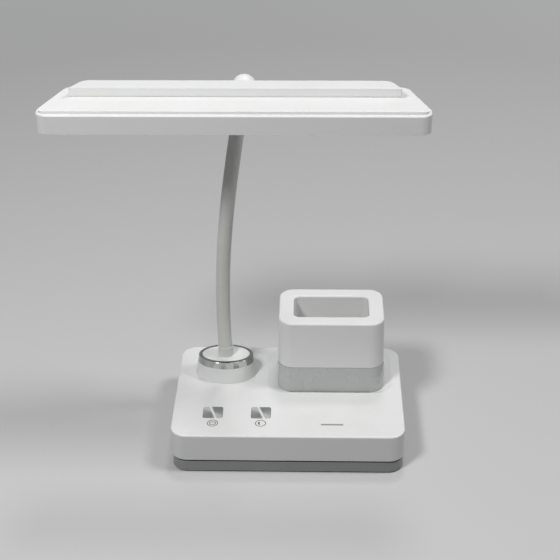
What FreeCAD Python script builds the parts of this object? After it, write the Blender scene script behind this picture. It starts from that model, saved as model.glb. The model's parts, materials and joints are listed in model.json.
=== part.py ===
"""Desk lamp with a drawer base, a bendable neck, a bar-shaped head and a pen holder.

Millimetres. +Z is up, the front faces -Y, and the origin is on the desk under the
middle of the base. Each piece is one STEP file named after its node.
"""
import FreeCAD
import Part

import os
from math import cos, pi, radians, sin, sqrt, tan

V = FreeCAD.Vector
X_AXIS = V(1, 0, 0)
Y_AXIS = V(0, 1, 0)
Z_AXIS = V(0, 0, 1)

# ---------------------------------------------------------------- driving dimensions
# base: the shell above, the narrower tier below it
BASE_WIDTH = 200.0
BASE_DEPTH = 140.0
BASE_CORNER = 14.0
SHELL_HEIGHT = 25.1
SHELL_WALL = 2.4
SHELL_ROOF = 2.2
SHELL_EDGE = 1.5
FLOOR_THICK = 2.0
TIER_HEIGHT = 9.8
TIER_INSET = 1.0
SHADOW_GAP = 2.0
FOOT_STAND = 1.2
FOOT_RADIUS = 5.5
FOOT_SUNK = 0.6
FOOT_EDGE = 0.4
FOOT_FROM_REAR = 15.0

# drawer and its rails
RAIL_WIDTH = 14.0
REAR_BAR = 12.0
FRONT_WRAP = 16.0
WRAP_CORNER = 0.6
DRAWER_TRAVEL = 85.0
DRAWER_WALL = 1.8
DRAWER_FLOOR = 1.4
DRAWER_LOWERED = 0.8
TRAY_CORNER = 4.0
TONGUE_THICK = 2.0
TONGUE_REACH = 2.6
STOP_REACH = 1.6
STOP_LENGTH = 8.0
GRIP_WIDTH = 60.0
GRIP_DEPTH = 9.0
GRIP_RISE = 0.8
GRIP_LIP = 2.0

# pod that carries the neck
POD_FROM_LEFT = 43.2
ROW_FROM_REAR = 42.5
POD_WIDTH = 55.0
POD_DEPTH = 38.0
POD_HEIGHT = 19.9
POD_FLARE = 3.2
POD_WALL = 2.2
RING_HEIGHT = 6.0
RING_WALL = 2.9
RING_EDGE = 0.6
DISC_THICK = 2.2
STUD_BOSS_WALL = 2.4

# pen holder and the dished seat that it stands in
HOLDER_FROM_RIGHT = 62.8
HOLDER_FROM_REAR = 39.4
HOLDER_WIDTH = 92.0
HOLDER_DEPTH = 61.0
HOLDER_CORNER = 13.0
HOLDER_HEIGHT = 68.2
PLINTH_HEIGHT = 24.0
HOLDER_DRAFT = 1.0
SEAT_DROP = 1.8
SEAT_LEFT = 9.5
SEAT_RIGHT = 7.5
SEAT_FRONT = 3.4
SEAT_REAR = 4.2
SEAT_MARGIN = 0.8
WELL_WIDTH = 65.5
WELL_DEPTH = 35.0
WELL_CORNER = 5.5
CUP_WALL = 2.2
CUP_FLOOR = 2.0
RIM_EDGE = 1.6
SEAM_GAP = 0.3
SEAM_LIP = 2.4
HOLDER_BOSS_HEIGHT = 12.0

# buttons and indicator
BUTTON_WIDTH = 16.8
BUTTON_DEPTH = 16.4
BUTTON_CORNER = 2.0
BUTTON_FROM_FRONT = 34.4
POWER_FROM_LEFT = 35.0
BUTTON_PITCH = 41.6
BUTTON_TRAVEL = 0.8
BUTTON_PROUD = 0.3
PLATE_THICK = 0.7
PLATE_EDGE = 0.2
CAP_FLANGE = 1.4
CAP_FLANGE_THICK = 1.0
PLUNGER_RADIUS = 1.5
PLUNGER_ENTRY = 1.0
SLIT_LENGTH = 19.0
SLIT_WIDTH = 2.0
SLIT_CORNER = 0.35
SLIT_FROM_RIGHT = 62.1
SLIT_FROM_FRONT = 17.8
LENS_FLANGE = 1.4
LENS_LEG = 6.0

# electronics and ballast in the base
BOARD_THICK = 1.6
BOARD_EDGE = 4.0
BOARD_BESIDE = 20.0
BOARD_BEHIND = 14.0
SWITCH_SIZE = 6.0
SWITCH_HEIGHT = 3.5
SWITCH_BASE = 0.9
LED_LENGTH = 3.2
LED_WIDTH = 1.6
LED_HEIGHT = 1.1
BALLAST_ROOM = 10.0
BALLAST_END_ROOM = 15.6
BALLAST_THICK = 5.0
BALLAST_CORNER = 4.0
CELL_RADIUS = 9.0
CELL_LENGTH = 65.0
CELL_TIP_RADIUS = 2.8
CELL_TIP = 1.0
CRADLE_WALL = 1.5
CRADLE_FLOOR = 0.8
CRADLE_HEIGHT = 12.0
INLET_X = 0.0
INLET_WIDTH = 8.9
INLET_HEIGHT = 3.2
INLET_LENGTH = 7.4
INLET_METAL = 0.3
INLET_TONGUE_WIDTH = 6.6
INLET_TONGUE_THICK = 0.7
INLET_STAND = 6.0
INLET_STAND_RADIUS = 1.6
INLET_BOARD_WIDTH = 18.0
INLET_BOARD_DEPTH = 14.0

# neck
NECK_RADIUS = 6.1
CORE_RADIUS = 4.0
LEAD_RADIUS = 2.4
LINKS = 7
FOOT_BOW_LEFT = 4.5
FOOT_BOW_BACK = 0.5
FOOT_REACH = 95.0
TOP_LEAN = 9.8
TOP_REACH = 95.0
COLLAR_WALL = 0.6
COLLAR_HEIGHT = 9.0
FLANGE_THICK = 1.5
FERRULE_RADIUS = 10.0
FERRULE_LENGTH = 22.0
FERRULE_EDGE = 1.5
FERRULE_RIGHT = 22.1
FERRULE_AHEAD = 12.0
FERRULE_RISE = 11.0
SOCKET_LIP = 2.6
STUD_RADIUS = 5.0
STUD_SPARE = 2.0
NUT_ACROSS = 17.0
NUT_THICK = 3.5
NUT_CORNER = 0.5

# head
HEAD_LEFT = 5.3
HEAD_WIDTH = 300.0
HEAD_DEPTH = 59.5
HEAD_BOTTOM = 307.4
HEAD_HEIGHT = 15.3
HEAD_TAPER = 15.5
HEAD_SHOULDER = 13.0
HEAD_FRONT_CORNER = 9.0
HEAD_REAR_CORNER = 10.0
HEAD_WALL = 2.0
HEAD_EDGE = 1.2
PANEL_RIM = 3.8
PANEL_END_RIM = 3.0
PANEL_DEPTH = 29.0
PANEL_RISE = 2.2
PANEL_FRONT_CORNER = 2.5
PANEL_SHOULDER = 4.6
PANEL_SHOULDER_CORNER = 4.0
PANEL_TAPER = 18.5
PANEL_REAR_CORNER = 8.0
PANEL_EDGE = 0.4
RIDGE_END = 21.5
RIDGE_TAPER = 8.5
RIDGE_BACK = 5.0
RIDGE_RISE = 8.9
RIDGE_FALL = 1.8
RIDGE_CORNER = 9.0
RIDGE_FRONT_CORNER = 1.0
WINDOW_END = 19.0
WINDOW_SIDE = 8.0
WINDOW_CORNER = 6.0
BEZEL_SUNK = 0.5
BEZEL_THICK = 2.0
DIFFUSER_THICK = 2.0
DIFFUSER_LAP = 3.0
REFLECTOR_LAP = 2.5
REFLECTOR_WALL = 1.5
SPREADER_THICK = 1.5
SPREADER_LAP = 1.0
LED_BOARD_THICK = 1.2
LED_COUNT = 30
LED_ROWS = 2
LED_SIZE = 3.0
LED_THICK = 0.7
LED_END_SPACE = 10.0

# hinge of the head
HINGE_AHEAD = 17.0
HINGE_FROM_REAR = 6.0
HINGE_RISE = 7.6
PIN_RADIUS = 2.0
PIN_HEAD = 1.3
HINGE_EYE = 4.5
TONGUE_WIDTH = 8.0
EAR_THICK = 3.0
WASHER_THICK = 0.7
WASHER_EASE = 0.3
BRACKET_PLATE = 2.5
BRACKET_HEIGHT = 10.0
BRACKET_SIDE_GAP = 0.6
NOTCH_ROOM = 2.8

# fits
SLIP = 0.2
RUN = 0.4
SNUG = 0.05
BALL_GAP = 0.3

# screws
SCREW_RADIUS = 1.4
SCREW_HEAD = 2.6
SCREW_HEAD_THICK = 1.8
CROSS_ARM = 1.5
CROSS_BLADE = 0.4
CROSS_DEPTH = 0.7
FLAT_HEAD_THICK = 1.0
SCREW_BITE = 6.0
BOSS_RADIUS = 3.5
BOSS_SPARE = 1.0

# modelling: how far a joined shape runs in, and how far a cutting shape runs past
OVERLAP = 0.5
PAST = 1.0

# ---------------------------------------------------------------- worked-out places
POD_X = POD_FROM_LEFT - BASE_WIDTH / 2
HOLDER_X = BASE_WIDTH / 2 - HOLDER_FROM_RIGHT
HOLDER_Y = BASE_DEPTH / 2 - HOLDER_FROM_REAR
ROW_Y = BASE_DEPTH / 2 - ROW_FROM_REAR
POWER_X = POWER_FROM_LEFT - BASE_WIDTH / 2
DIMMER_X = POWER_X + BUTTON_PITCH
BUTTON_Y = BUTTON_FROM_FRONT - BASE_DEPTH / 2
SLIT_X = BASE_WIDTH / 2 - SLIT_FROM_RIGHT
SLIT_Y = SLIT_FROM_FRONT - BASE_DEPTH / 2

TIER_BOTTOM = FOOT_STAND
TIER_TOP = TIER_BOTTOM + TIER_HEIGHT
SHELL_BOTTOM = TIER_TOP + SHADOW_GAP
BASE_TOP = SHELL_BOTTOM + SHELL_HEIGHT
ROOF_UNDER = BASE_TOP - SHELL_ROOF
FLOOR_TOP = SHELL_BOTTOM + FLOOR_THICK
CAP_UNDER = ROOF_UNDER - SNUG - CAP_FLANGE_THICK
BOARD_TOP = CAP_UNDER - BUTTON_TRAVEL - RUN - SWITCH_HEIGHT
BOARD_UNDER = BOARD_TOP - BOARD_THICK

TIER_WIDTH = BASE_WIDTH - 2 * TIER_INSET
TIER_DEPTH = BASE_DEPTH - 2 * TIER_INSET
TIER_CORNER = BASE_CORNER - TIER_INSET
TIER_FRONT = -TIER_DEPTH / 2
RAIL_INNER = TIER_WIDTH / 2 - RAIL_WIDTH
RAIL_MIDDLE = TIER_WIDTH / 2 - (RAIL_WIDTH - TONGUE_REACH) / 2
RAIL_FRONT = TIER_FRONT + FRONT_WRAP
RAIL_REAR = TIER_DEPTH / 2 - REAR_BAR
TRAY_SIDE = RAIL_INNER - RUN
TRAY_REAR = RAIL_REAR - RUN
TRAY_BOTTOM = TIER_BOTTOM + DRAWER_LOWERED / 2
TRAY_TOP = TIER_TOP - DRAWER_LOWERED
TONGUE_Z = (TIER_BOTTOM + TIER_TOP) / 2
STOP_LEDGE = TRAY_REAR - STOP_LENGTH - DRAWER_TRAVEL - SLIP

SHELL_INSIDE_WIDTH = BASE_WIDTH - 2 * SHELL_WALL
SHELL_INSIDE_DEPTH = BASE_DEPTH - 2 * SHELL_WALL
SHELL_INSIDE_CORNER = BASE_CORNER - SHELL_WALL

POD_TOP = BASE_TOP + POD_HEIGHT
RING_BOTTOM = POD_TOP - RING_HEIGHT
SEAT_FLOOR = BASE_TOP - SEAT_DROP
SEAT_UNDER = ROOF_UNDER - SEAT_DROP
PLINTH_TOP = BASE_TOP + PLINTH_HEIGHT
HOLDER_TOP = BASE_TOP + HOLDER_HEIGHT
WELL_FLOOR = SEAT_FLOOR + 2 * CUP_FLOOR + BALL_GAP

FERRULE = V(POD_X + FERRULE_RIGHT, ROW_Y - FERRULE_AHEAD, HEAD_BOTTOM + FERRULE_RISE)
NECK_FOOT = V(POD_X, ROW_Y, POD_TOP)
NECK_END_WAY = V(sin(radians(TOP_LEAN)), 0, cos(radians(TOP_LEAN)))
SOCKET_RADIUS = NECK_RADIUS + BALL_GAP

HINGE_Y = FERRULE.y - HINGE_AHEAD
HINGE_Z = HEAD_BOTTOM + HINGE_RISE
HINGE = V(FERRULE.x - (FERRULE.z - HINGE_Z) * tan(radians(TOP_LEAN)), HINGE_Y, HINGE_Z)
EAR_INNER = TONGUE_WIDTH / 2 + WASHER_THICK + SLIP
EAR_OUTER = EAR_INNER + EAR_THICK
NOTCH_HALF = FERRULE_RADIUS + NOTCH_ROOM
NOTCH_FRONT = HINGE_Y - HINGE_EYE - RUN - BRACKET_PLATE

HEAD_X = FERRULE.x - HEAD_LEFT
HEAD_TOP = HEAD_BOTTOM + HEAD_HEIGHT
HEAD_REAR = HINGE_Y + HINGE_FROM_REAR
HEAD_FRONT = HEAD_REAR - HEAD_DEPTH
PANEL_FRONT = HEAD_FRONT + PANEL_RIM
RIDGE_FRONT = PANEL_FRONT + PANEL_DEPTH
RIDGE_REAR = HEAD_REAR - RIDGE_BACK
RIDGE_DEPTH = RIDGE_REAR - RIDGE_FRONT
RIDGE_WIDTH = HEAD_WIDTH - 2 * RIDGE_END
WINDOW_WIDTH = HEAD_WIDTH - 2 * WINDOW_END
WINDOW_DEPTH = NOTCH_FRONT - HEAD_FRONT - 2 * WINDOW_SIDE
WINDOW_Y = (HEAD_FRONT + NOTCH_FRONT) / 2
BEZEL_BOTTOM = HEAD_BOTTOM + BEZEL_SUNK
BEZEL_TOP = BEZEL_BOTTOM + BEZEL_THICK
DIFFUSER_TOP = BEZEL_TOP + DIFFUSER_THICK
SPREADER_TOP = HEAD_TOP - HEAD_WALL
LED_BOARD_TOP = SPREADER_TOP - SPREADER_THICK
LED_BOARD_UNDER = LED_BOARD_TOP - LED_BOARD_THICK


# ---------------------------------------------------------------- shape helpers
def outline(corners, z):
    """Closed wire at height z round the corners (x, y, radius)."""
    bends = []
    for i, (x, y, radius) in enumerate(corners):
        here = V(x, y, z)
        before = corners[i - 1]
        after = corners[(i + 1) % len(corners)]
        back = (V(before[0], before[1], z) - here).normalize()
        ahead = (V(after[0], after[1], z) - here).normalize()
        half = back.getAngle(ahead) / 2
        inward = (back + ahead).normalize()
        enter = here + back * (radius / tan(half))
        leave = here + ahead * (radius / tan(half))
        middle = here + inward * (radius / sin(half) - radius)
        bends.append((enter, middle, leave))
    edges = []
    for i, (enter, middle, leave) in enumerate(bends):
        if (leave - enter).Length > 1e-6:
            edges.append(Part.Arc(enter, middle, leave).toShape())
        onward = bends[(i + 1) % len(bends)][0]
        if (onward - leave).Length > 1e-6:
            edges.append(Part.LineSegment(leave, onward).toShape())
    return Part.Wire(edges)


def rounded(x0, x1, y0, y1, corner, z):
    """Rounded rectangle wire between two corners."""
    return outline([(x0, y0, corner), (x1, y0, corner), (x1, y1, corner), (x0, y1, corner)], z)


def rectangle(width, depth, corner, z, x=0.0, y=0.0):
    """Rounded rectangle wire round (x, y)."""
    return rounded(x - width / 2, x + width / 2, y - depth / 2, y + depth / 2, corner, z)


def prism(wire, height):
    """Solid from a flat wire, raised by height."""
    return Part.Face(wire).extrude(V(0, 0, height))


def slab(width, depth, corner, low, high, x=0.0, y=0.0):
    """Rounded rectangular block from low to high."""
    return prism(rectangle(width, depth, corner, low, x, y), high - low)


def box(x0, x1, y0, y1, z0, z1):
    """Plain block between two corners, which may come in either order."""
    low = V(min(x0, x1), min(y0, y1), min(z0, z1))
    return Part.makeBox(abs(x1 - x0), abs(y1 - y0), abs(z1 - z0), low)


def post(x, y, radius, low, high):
    """Upright cylinder."""
    return Part.makeCylinder(radius, high - low, V(x, y, low), Z_AXIS)


def rod(start, way, radius, near, far):
    """Cylinder along way, from near to far beyond start."""
    return Part.makeCylinder(radius, far - near, start + way * near, way)


def join(shapes):
    """One solid out of touching or crossing shapes."""
    return shapes[0].fuse(shapes[1:]).removeSplitter()


def cut(shape, tools):
    """Shape less all the tools."""
    return shape.cut(tools)


def level_edges(shape, z, near=0.01):
    """Edges that lie wholly at height z."""
    return [edge for edge in shape.Edges
            if abs(edge.BoundBox.ZMin - z) < near and abs(edge.BoundBox.ZMax - z) < near]


def soften(shape, z, radius):
    """Rounds every edge that lies at height z."""
    return shape.makeFillet(radius, level_edges(shape, z))


def ellipse(width, depth, z):
    """Oval wire round the pod's middle, long axis along X."""
    return Part.Wire([Part.Ellipse(V(POD_X, ROW_Y, z), width / 2, depth / 2).toShape()])


def cross_recess(x, y, low):
    """Driver's cross that opens downwards from low."""
    top = low + CROSS_DEPTH
    return [box(x - CROSS_ARM, x + CROSS_ARM, y - CROSS_BLADE, y + CROSS_BLADE, low - PAST, top),
            box(x - CROSS_BLADE, x + CROSS_BLADE, y - CROSS_ARM, y + CROSS_ARM, low - PAST, top)]


def screw(x, y, head_low, length):
    """Pan-head screw that points up: a head with a cross, and a plain shank above it."""
    head_top = head_low + SCREW_HEAD_THICK
    body = join([post(x, y, SCREW_HEAD, head_low, head_top),
                 post(x, y, SCREW_RADIUS, head_low, head_top + length)])
    return cut(body, cross_recess(x, y, head_low))


def save(name, shape):
    """Writes one node."""
    shape.exportStep("parts/" + name + ".step")
    print(name, round(shape.Volume, 1), len(shape.Solids), shape.isValid())


# ---------------------------------------------------------------- places of fasteners
CHASSIS_SCREW_SETBACK = 23.0
CHASSIS_SCREW_FROM_FOOT = 10.5
FLOOR_SCREW_X = 45.0
FLOOR_SCREW_Y = SHELL_INSIDE_DEPTH / 2 - BOSS_RADIUS - BOSS_SPARE
HOLDER_SCREW_X = WELL_WIDTH / 2 + CUP_WALL + BOSS_RADIUS + BOSS_SPARE
CHASSIS_SEAT = TIER_BOTTOM + SCREW_HEAD_THICK + RUN
BOARD_LEFT = POWER_X - BOARD_BESIDE
BOARD_RIGHT = SLIT_X + BOARD_BESIDE
BOARD_FRONT = SLIT_Y - BOARD_EDGE
BOARD_REAR = BUTTON_Y + BOARD_BEHIND


def chassis_screw_places():
    """Where the long screws go up through the rails into the shell."""
    front = RAIL_FRONT + CHASSIS_SCREW_SETBACK
    rear = TIER_DEPTH / 2 - FOOT_FROM_REAR - CHASSIS_SCREW_FROM_FOOT
    return [(side * RAIL_MIDDLE, y) for side in (-1, 1) for y in (front, rear)]


def foot_places():
    """Centres of the four rubber feet."""
    front = RAIL_FRONT + FOOT_RADIUS + TONGUE_REACH
    rear = TIER_DEPTH / 2 - FOOT_FROM_REAR
    return [(side * RAIL_MIDDLE, y) for side in (-1, 1) for y in (front, rear)]


def floor_screw_places():
    """Where the floor plate is screwed to the shell."""
    return [(sx * FLOOR_SCREW_X, sy * FLOOR_SCREW_Y) for sx in (-1, 1) for sy in (-1, 1)]


def board_screw_places():
    """Where the main board hangs on the shell's posts."""
    return [(x, y) for x in (BOARD_LEFT + BOARD_EDGE, BOARD_RIGHT - BOARD_EDGE)
            for y in (BOARD_FRONT + BOARD_EDGE, BOARD_REAR - BOARD_EDGE)]


def holder_screw_places():
    """Where the holder is screwed down through the roof."""
    return [(HOLDER_X + side * HOLDER_SCREW_X, HOLDER_Y) for side in (-1, 1)]


# ---------------------------------------------------------------- base
def holder_foot(z, grow):
    """Outline of the holder where it stands on the base, let out by grow."""
    spread = 2 * HOLDER_HEIGHT * tan(radians(HOLDER_DRAFT)) + 2 * grow
    return rectangle(HOLDER_WIDTH + spread, HOLDER_DEPTH + spread, HOLDER_CORNER + spread / 2,
                     z, HOLDER_X, HOLDER_Y)


def seat_rim(z, grow=0.0):
    """Outline of the dished seat where it meets the top of the base."""
    foot = holder_foot(z, grow).BoundBox
    return rounded(foot.XMin - SEAT_LEFT, foot.XMax + SEAT_RIGHT, foot.YMin - SEAT_FRONT,
                   foot.YMax + SEAT_REAR, HOLDER_CORNER + SEAT_FRONT + grow, z)


def seat_dish():
    """Shape cut out of the roof: it slopes from the rim down to a flat floor."""
    sloped = Part.makeLoft([holder_foot(SEAT_FLOOR, SEAT_MARGIN), seat_rim(BASE_TOP)], True, True)
    above = prism(seat_rim(BASE_TOP), PAST)
    return join([sloped, above])


def base_shell():
    """White top housing: a rounded tray upside down, with bosses for all that it holds."""
    body = slab(BASE_WIDTH, BASE_DEPTH, BASE_CORNER, SHELL_BOTTOM, BASE_TOP)
    body = soften(body, BASE_TOP, SHELL_EDGE)
    body = cut(body, [slab(SHELL_INSIDE_WIDTH, SHELL_INSIDE_DEPTH, SHELL_INSIDE_CORNER,
                           SHELL_BOTTOM, ROOF_UNDER)])
    under_seat = prism(seat_rim(SEAT_UNDER), SEAT_DROP + OVERLAP)
    into_roof = ROOF_UNDER + OVERLAP
    bosses = [post(x, y, BOSS_RADIUS, FLOOR_TOP, into_roof)
              for x, y in chassis_screw_places() + floor_screw_places()]
    bosses += [post(x, y, BOSS_RADIUS, BOARD_TOP, into_roof) for x, y in board_screw_places()]
    body = join([body, under_seat] + bosses)
    through = (SEAT_UNDER - PAST, BASE_TOP + PAST)
    tools = [seat_dish(),
             slab(SLIT_LENGTH + 2 * SNUG, SLIT_WIDTH + 2 * SNUG, SLIT_CORNER + SNUG, *through,
                  SLIT_X, SLIT_Y),
             post(POD_X, ROW_Y, STUD_RADIUS + SLIP, *through),
             inlet_slot()]
    tools += [slab(BUTTON_WIDTH + 2 * SLIP, BUTTON_DEPTH + 2 * SLIP, BUTTON_CORNER + SLIP,
                   *through, x, BUTTON_Y) for x in (POWER_X, DIMMER_X)]
    tools += [post(x, y, SCREW_RADIUS + SLIP, *through) for x, y in holder_screw_places()]
    hole_top = ROOF_UNDER - SHELL_ROOF
    tools += [post(x, y, SCREW_RADIUS + SNUG, FLOOR_TOP - PAST, hole_top)
              for x, y in chassis_screw_places() + floor_screw_places()]
    tools += [post(x, y, SCREW_RADIUS + SNUG, BOARD_TOP - PAST, ROOF_UNDER - OVERLAP)
              for x, y in board_screw_places()]
    return cut(body, tools)


def inlet_z():
    """Height of the charging socket's middle."""
    return FLOOR_TOP + INLET_STAND + BOARD_THICK + INLET_HEIGHT / 2


def round_ended(width, height, y0, y1):
    """Bar along Y with nearly half-round ends, the form of the charging socket."""
    bar = box(INLET_X - width / 2, INLET_X + width / 2, y0, y1,
              inlet_z() - height / 2, inlet_z() + height / 2)
    along = [edge for edge in bar.Edges if abs(edge.BoundBox.YLength - abs(y1 - y0)) < 0.01]
    return bar.makeFillet(0.45 * height, along)


def inlet_slot():
    """Slot through the rear wall for the charging plug."""
    return round_ended(INLET_WIDTH + 2 * SLIP, INLET_HEIGHT + 2 * SLIP,
                       BASE_DEPTH / 2 - SHELL_WALL - PAST, BASE_DEPTH / 2 + PAST)


def shell_floor():
    """Plate that closes the shell from below; the drawer runs under it."""
    plate = slab(SHELL_INSIDE_WIDTH - 2 * SLIP, SHELL_INSIDE_DEPTH - 2 * SLIP,
                 SHELL_INSIDE_CORNER - SLIP, SHELL_BOTTOM, FLOOR_TOP)
    stand_y = inlet_board_rear() - INLET_BOARD_DEPTH / 2
    stands = [post(INLET_X + side * INLET_BOARD_WIDTH / 3, stand_y, INLET_STAND_RADIUS,
                   FLOOR_TOP - OVERLAP, FLOOR_TOP + INLET_STAND) for side in (-1, 1)]
    plate = join([plate] + stands)
    through = (SHELL_BOTTOM - PAST, FLOOR_TOP + PAST)
    tools = [post(x, y, SCREW_RADIUS + SLIP, *through)
             for x, y in chassis_screw_places() + floor_screw_places()]
    tools += [post(x, y, SCREW_HEAD + SLIP, SHELL_BOTTOM - PAST, SHELL_BOTTOM + SLIP + FLAT_HEAD_THICK)
              for x, y in floor_screw_places()]
    return cut(plate, tools)


def rail_groove(side, reach, front):
    """Slot along one rail's inner face, as deep as reach, from front to the rear bar."""
    half = TONGUE_THICK / 2 + SLIP
    return box(side * (RAIL_INNER - PAST), side * (RAIL_INNER + reach + RUN), front, RAIL_REAR,
               TONGUE_Z - half, TONGUE_Z + half)


def drawer_chassis():
    """Grey U-shaped lower frame: two grooved rails and a rear bar."""
    body = slab(TIER_WIDTH, TIER_DEPTH, TIER_CORNER, TIER_BOTTOM, TIER_TOP)
    height = (TIER_BOTTOM - PAST, TIER_TOP + PAST)
    body = cut(body, [box(-RAIL_INNER, RAIL_INNER, TIER_FRONT - PAST, RAIL_REAR, *height),
                      box(-TIER_WIDTH, TIER_WIDTH, TIER_FRONT - PAST, RAIL_FRONT, *height)])
    pads = [post(x, y, BOSS_RADIUS, TIER_TOP - OVERLAP, SHELL_BOTTOM)
            for x, y in chassis_screw_places()]
    body = join([body] + pads)
    tools = []
    for side in (-1, 1):
        tools.append(rail_groove(side, TONGUE_REACH, RAIL_FRONT - PAST))
        tools.append(rail_groove(side, TONGUE_REACH + STOP_REACH, STOP_LEDGE))
    for x, y in chassis_screw_places():
        tools.append(post(x, y, SCREW_RADIUS + SLIP, TIER_BOTTOM - PAST, SHELL_BOTTOM + PAST))
        tools.append(post(x, y, SCREW_HEAD + SLIP, TIER_BOTTOM - PAST, CHASSIS_SEAT))
    for x, y in foot_places():
        tools.append(post(x, y, FOOT_RADIUS + SNUG, TIER_BOTTOM - PAST, TIER_BOTTOM + FOOT_SUNK))
    return cut(body, tools)


def rubber_feet():
    """Round pads sunk a little into the rails."""
    return Part.makeCompound([soften(post(x, y, FOOT_RADIUS, 0.0, TIER_BOTTOM + FOOT_SUNK),
                                     0.0, FOOT_EDGE) for x, y in foot_places()])


def chassis_screws():
    """Long screws from the rails up into the shell's bosses."""
    reach = FLOOR_TOP + SCREW_BITE - CHASSIS_SEAT
    return Part.makeCompound([screw(x, y, CHASSIS_SEAT - SCREW_HEAD_THICK, reach)
                              for x, y in chassis_screw_places()])


def flat_screw(x, y, head_low, tip):
    """Low-headed screw that points up."""
    body = join([post(x, y, SCREW_HEAD, head_low, head_low + FLAT_HEAD_THICK),
                 post(x, y, SCREW_RADIUS, head_low, tip)])
    return cut(body, cross_recess(x, y, head_low))


def floor_screws():
    """Flat screws that hold the floor plate."""
    return Part.makeCompound([flat_screw(x, y, SHELL_BOTTOM + SLIP, FLOOR_TOP + SCREW_BITE)
                              for x, y in floor_screw_places()])


def ballast_plate():
    """Steel weight on the floor plate, under the neck."""
    left = BOSS_RADIUS + BOSS_SPARE - RAIL_MIDDLE
    right = HOLDER_X - CELL_LENGTH / 2 - RUN - CRADLE_WALL - BALLAST_ROOM
    rear = SHELL_INSIDE_DEPTH / 2 - BALLAST_END_ROOM
    return prism(rounded(left, right, -rear, rear, BALLAST_CORNER, FLOOR_TOP), BALLAST_THICK)


def main_board():
    """Circuit board under the roof, behind the front wall."""
    board = box(BOARD_LEFT, BOARD_RIGHT, BOARD_FRONT, BOARD_REAR, BOARD_UNDER, BOARD_TOP)
    return cut(board, [post(x, y, SCREW_RADIUS + SLIP, BOARD_UNDER - PAST, BOARD_TOP + PAST)
                       for x, y in board_screw_places()])


def board_screws():
    """Screws that hang the board on the shell's posts."""
    reach = BOARD_THICK + (ROOF_UNDER - BOARD_TOP) / 2
    return Part.makeCompound([screw(x, y, BOARD_UNDER - SCREW_HEAD_THICK, reach)
                              for x, y in board_screw_places()])


def tact_switches():
    """Two square switches with a well for the plunger of the button above."""
    half = SWITCH_SIZE / 2
    top = BOARD_TOP + SWITCH_HEIGHT
    return Part.makeCompound([
        cut(box(x - half, x + half, BUTTON_Y - half, BUTTON_Y + half, BOARD_TOP, top),
            [post(x, BUTTON_Y, PLUNGER_RADIUS + SLIP, BOARD_TOP + SWITCH_BASE, top + PAST)])
        for x in (POWER_X, DIMMER_X)])


def indicator_led():
    """Small light on the board under the slit."""
    return box(SLIT_X - LED_LENGTH / 2, SLIT_X + LED_LENGTH / 2, SLIT_Y - LED_WIDTH / 2,
               SLIT_Y + LED_WIDTH / 2, BOARD_TOP, BOARD_TOP + LED_HEIGHT)


def indicator_lens():
    """Light pipe that fills the slit, with a flange under the roof and a leg to the light."""
    top = ROOF_UNDER - SNUG
    low = top - CAP_FLANGE_THICK
    bar = slab(SLIT_LENGTH, SLIT_WIDTH, SLIT_CORNER, low, BASE_TOP, SLIT_X, SLIT_Y)
    flange = slab(SLIT_LENGTH + 2 * LENS_FLANGE, SLIT_WIDTH + 2 * LENS_FLANGE,
                  SLIT_CORNER + LENS_FLANGE, low, top, SLIT_X, SLIT_Y)
    leg = slab(LENS_LEG, SLIT_WIDTH, SLIT_CORNER, BOARD_TOP + LED_HEIGHT + SLIP, low + OVERLAP,
               SLIT_X, SLIT_Y)
    return join([bar, flange, leg])


def battery_holder():
    """Open cradle on the floor plate for two round cells lying side by side."""
    x0 = HOLDER_X - CELL_LENGTH / 2 - RUN
    x1 = HOLDER_X + CELL_LENGTH / 2 + CELL_TIP + RUN
    half = 2 * (CELL_RADIUS + SLIP) + SLIP
    outer = box(x0 - CRADLE_WALL, x1 + CRADLE_WALL, ROW_Y - half - CRADLE_WALL,
                ROW_Y + half + CRADLE_WALL, FLOOR_TOP, FLOOR_TOP + CRADLE_HEIGHT)
    return cut(outer, [box(x0, x1, ROW_Y - half, ROW_Y + half, FLOOR_TOP + CRADLE_FLOOR,
                           FLOOR_TOP + CRADLE_HEIGHT + PAST)])


def battery_cells():
    """Two round cells, each with its raised end."""
    cells = []
    for side in (-1, 1):
        start = V(HOLDER_X - CELL_LENGTH / 2, ROW_Y + side * (CELL_RADIUS + SLIP),
                  FLOOR_TOP + CRADLE_FLOOR + CELL_RADIUS)
        cells.append(join([rod(start, X_AXIS, CELL_RADIUS, 0, CELL_LENGTH),
                           rod(start, X_AXIS, CELL_TIP_RADIUS, CELL_LENGTH - OVERLAP,
                               CELL_LENGTH + CELL_TIP)]))
    return Part.makeCompound(cells)


def inlet_board_rear():
    """Rear edge of the small board behind the charging slot."""
    return BASE_DEPTH / 2 - SHELL_WALL - SLIP


def inlet_board():
    """Small board on two stands, carrying the charging socket."""
    low = FLOOR_TOP + INLET_STAND
    rear = inlet_board_rear()
    return box(INLET_X - INLET_BOARD_WIDTH / 2, INLET_X + INLET_BOARD_WIDTH / 2,
               rear - INLET_BOARD_DEPTH, rear, low, low + BOARD_THICK)


def power_inlet():
    """Charging socket: a round-ended metal sleeve with its contact tongue."""
    rear = BASE_DEPTH / 2 - OVERLAP
    front = rear - INLET_LENGTH
    sleeve = round_ended(INLET_WIDTH, INLET_HEIGHT, front, rear)
    mouth = round_ended(INLET_WIDTH - 2 * INLET_METAL, INLET_HEIGHT - 2 * INLET_METAL,
                        front + 1.0, rear + PAST)
    tongue = box(INLET_X - INLET_TONGUE_WIDTH / 2, INLET_X + INLET_TONGUE_WIDTH / 2,
                 front + OVERLAP, rear - 1.0, inlet_z() - INLET_TONGUE_THICK / 2,
                 inlet_z() + INLET_TONGUE_THICK / 2)
    return join([cut(sleeve, [mouth]), tongue])


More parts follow.
